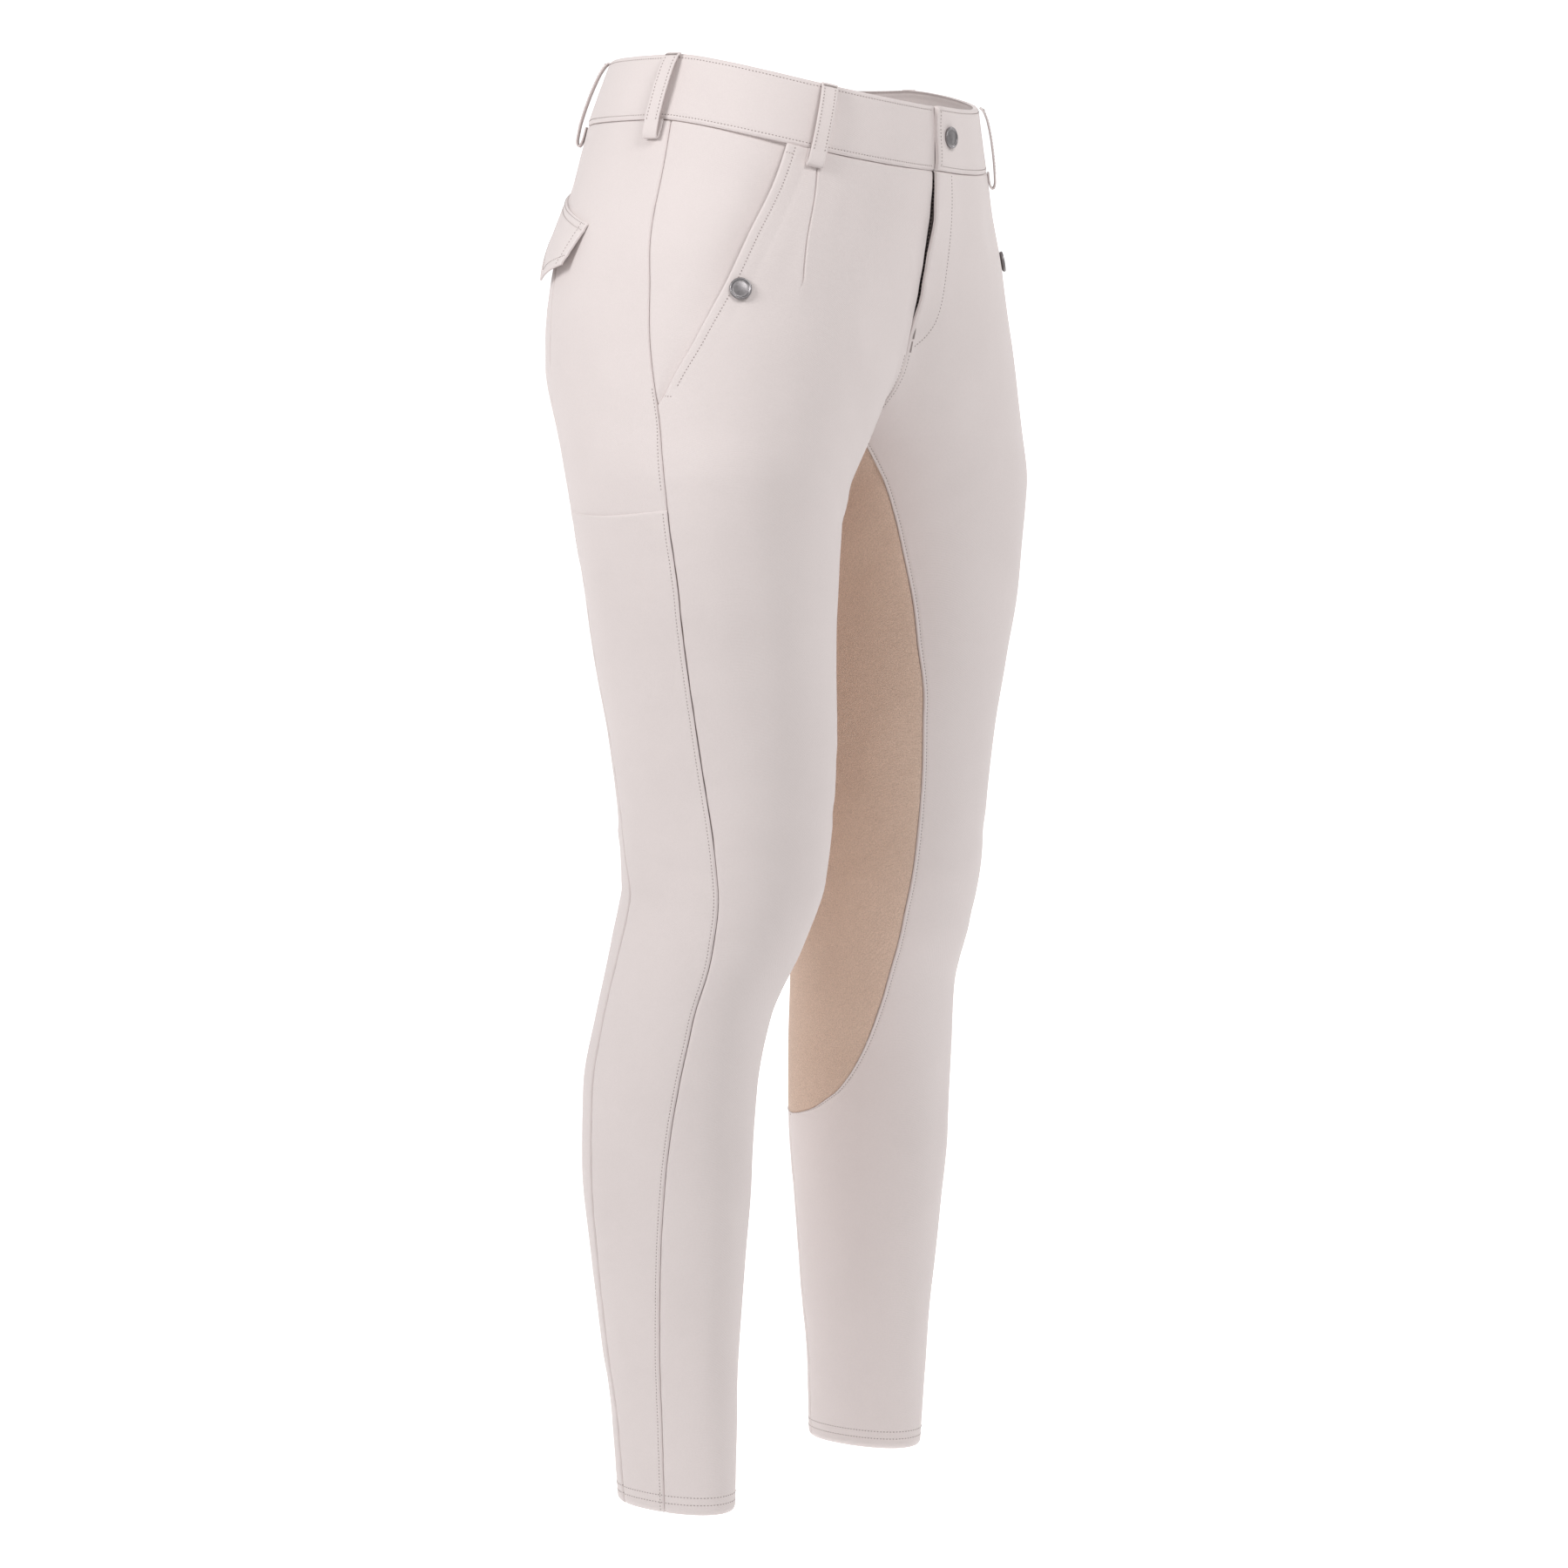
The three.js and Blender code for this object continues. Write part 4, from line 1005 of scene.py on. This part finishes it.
for tag, side in SIDES.items():
    front, back = panels["front_" + tag], panels["back_" + tag]
    low, upper = panels["side_lower_" + tag], panels["side_upper_" + tag]
    band, flap = panels["waistband_" + tag], panels["back_pocket_flap_" + tag]
    points, out = front.line("start", EDGE_STITCH)
    for ends in ((GRIP_LOW - 4, GRIP_FRONT_TOP), (GRIP_FRONT_TOP, FLY_LOW)):
        rows = front.rows_between(*ends)
        sew("fronts", points[rows], out[rows])
    opening = front.rows_between(SLANT_LOW + 2, BAND_LOW, -1)
    points, out = front.line("end", SLANT_STITCH)
    sew("fronts", points[opening], out[opening])
    for up in (SLANT_LOW + 0.5, 879):
        row = int(np.argmin(np.abs(front.up[:, -1] - up)))
        found = [front.line("end", distance) for distance in np.linspace(0.5, SLANT_STITCH, 6)]
        points, out = (np.array([line[k][row] for line in found]) for k in (0, 1))
        sew("fronts", points, out, pitch=1.4, length=1.0, trim=0)
    sew("sides", *low.line("start", EDGE_STITCH))
    points, out = upper.line("start", UPPER_STITCH)
    shown = upper.rows_between(PHONE_EDGE + 10, SLANT_LOW + 6)
    sew("sides", points[shown], out[shown])
    points, out = back.line("end", EDGE_STITCH)
    seat = back.up[:, -1] > GRIP_LOW
    sew("backs", points[seat], out[seat])
    for edge in ("low", "high"):
        points, out = band.line(edge, BAND_STITCH)
        first = 0 if side > 0 else UNDER_COLUMNS + 1
        sew("band", points[first:], out[first:])
    for panel in (front, low, back):
        for distance in HEM_STITCHES:
            sew("hems", *panel.line("low", distance), trim=0.6)
    for distance in FLAP_TOP_STITCHES:
        sew("flaps", *flap.line("high", distance))
    for edge in ("start", "end", "low"):
        sew("flaps", *flap.line(edge, FLAP_STITCH))
    for place, turn in LOOP_TURNS.items():
        centre, across, out = belt_loop("belt_loop_%s_%s" % (place, tag), turn, side)
        for offset in (-LOOP_STITCH, LOOP_STITCH):
            sew("loops", (centre + across * offset + out * 0.62)[3:46], out[3:46])
        tack("loops", centre[3] + out[3] * 0.75, out[3], across[3], 8.5, 1.8)
sew("band", *panels["waistband_left"].line("start", EDGE_STITCH), trim=3)
path = spline(J_STITCH, 120)
sew("fronts", *panels["front_left"].at(path[:, 0], path[:, 1]))
for up in (FLY_LOW + 1, 762):
    spot, out = panels["front_left"].at([up], [EDGE_STITCH])
    tack("fronts", spot[0], out[0], np.array([0, 0, 1.0]) - out[0] * out[0][2], 7.0, 2.0)
make_threads()

snap("pocket_snap_left", 130, 821, 1.1, 1)
snap("pocket_snap_right", 141, 786, 2.3, -1)
snap("waist_snap", centre_turn(912.0, 14.0), 912.0, 3.4, 1)

for name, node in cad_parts.items():
    if "snap" in name:
        look = METAL
    elif name == "fly_zip":
        look = TAPE
    else:
        look = CLOTH
    for slot in node.material_slots:
        slot.material = look

# Camera at the photo's angle.
turn, pitch = math.radians(CAMERA_TURN), math.radians(CAMERA_PITCH)
camera_data = bpy.data.cameras.new("camera")
camera_data.lens = CAMERA_LENS
camera_data.sensor_width = CAMERA_SENSOR
camera_data.clip_end = 100
camera = bpy.data.objects.new("camera", camera_data)
camera.location = (
    (-CAMERA_DISTANCE * math.sin(turn) + CAMERA_SHIFT * math.cos(turn)) * MM,
    (-CAMERA_DISTANCE * math.cos(turn) - CAMERA_SHIFT * math.sin(turn)) * MM,
    (CAMERA_UP - WAIST_LEVEL) * MM,
)
camera.rotation_euler = (math.pi / 2 - pitch, 0, -turn)
bpy.context.scene.collection.objects.link(camera)
bpy.context.scene.camera = camera

# Pale floor below the hems that curves up to a wall behind, and plain soft studio light. The floor and wall
# glow with painted light, dim in front of the garment and bright behind it, and their own colour is darker in
# front.
floor_material, floor_nodes, floor_links, floor_shader = node_material("pale_glowing_floor")
floor_shader.inputs["Roughness"].default_value = 1.0
floor_shader.inputs["Specular IOR Level"].default_value = 0.0
floor_shader.inputs["Emission Color"].default_value = (1, 1, 1, 1)
away = np.array([math.sin(turn), math.cos(turn), 0])
floor_place = add_node(floor_nodes, "TexCoord")
floor_reach = add_node(floor_nodes, "VectorMath", {1: tuple(away)}, operation="DOT_PRODUCT")
# Painted light: the glow of the floor and wall, and their colour, rise from in front of the garment to behind
# it.
for socket, near, far in (("Base Color", 0.72, 0.96), ("Emission Strength", 0.12, 0.6)):
    ends = {"From Min": -0.9, "From Max": 0.3, "To Min": near, "To Max": far}
    fade = add_node(floor_nodes, "MapRange", ends, interpolation_type="SMOOTHSTEP")
    floor_links.new(floor_reach.outputs["Value"], fade.inputs["Value"])
    floor_links.new(fade.outputs["Result"], floor_shader.inputs[socket])
floor_links.new(floor_place.outputs["Object"], floor_reach.inputs[0])
across = np.array([math.cos(turn), -math.sin(turn), 0])
bend = np.linspace(0, math.pi / 2, 40)
section = [(-FLOOR_HALF, 0.0)] + [
    (WALL_REACH - WALL_CURVE + WALL_CURVE * math.sin(a), WALL_CURVE * (1 - math.cos(a))) for a in bend
] + [(WALL_REACH, FLOOR_HALF)]
corners = [
    away * reach + across * half + np.array([0, 0, FLOOR_LEVEL + rise])
    for reach, rise in section for half in (-FLOOR_HALF, FLOOR_HALF)
]
faces = [(2 * i, 2 * i + 1, 2 * i + 3, 2 * i + 2) for i in range(len(section) - 1)]
floor = make_mesh("floor", corners, faces, floor_material)

world = bpy.data.worlds.new("studio")
world.use_nodes = True
background = world.node_tree.nodes["Background"]
background.inputs["Color"].default_value = (1, 1, 1, 1)
background.inputs["Strength"].default_value = 0.44
bpy.context.scene.world = world
bpy.context.scene.view_settings.view_transform = "Standard"


def add_light(name, place, target, size, power):
    data = bpy.data.lights.new(name, "AREA")
    data.shape = "DISK"
    data.size = size
    data.energy = power
    light = bpy.data.objects.new(name, data)
    light.location = place
    light.rotation_euler = (Vector(target) - Vector(place)).to_track_quat("-Z", "Y").to_euler()
    bpy.context.scene.collection.objects.link(light)


# Name, place, target, size in metres and power in watts of each soft light.
add_light("left_box", (-1.45, 0.3, 0.45), (0, 0, -0.2), 0.6, 12.5)
add_light("front_box", (-0.6, -1.2, 0.8), (0, 0, -0.15), 0.6, 9.5)
add_light("right_box", (1.2, -0.85, 0.85), (0, 0, -0.1), 0.35, 4)
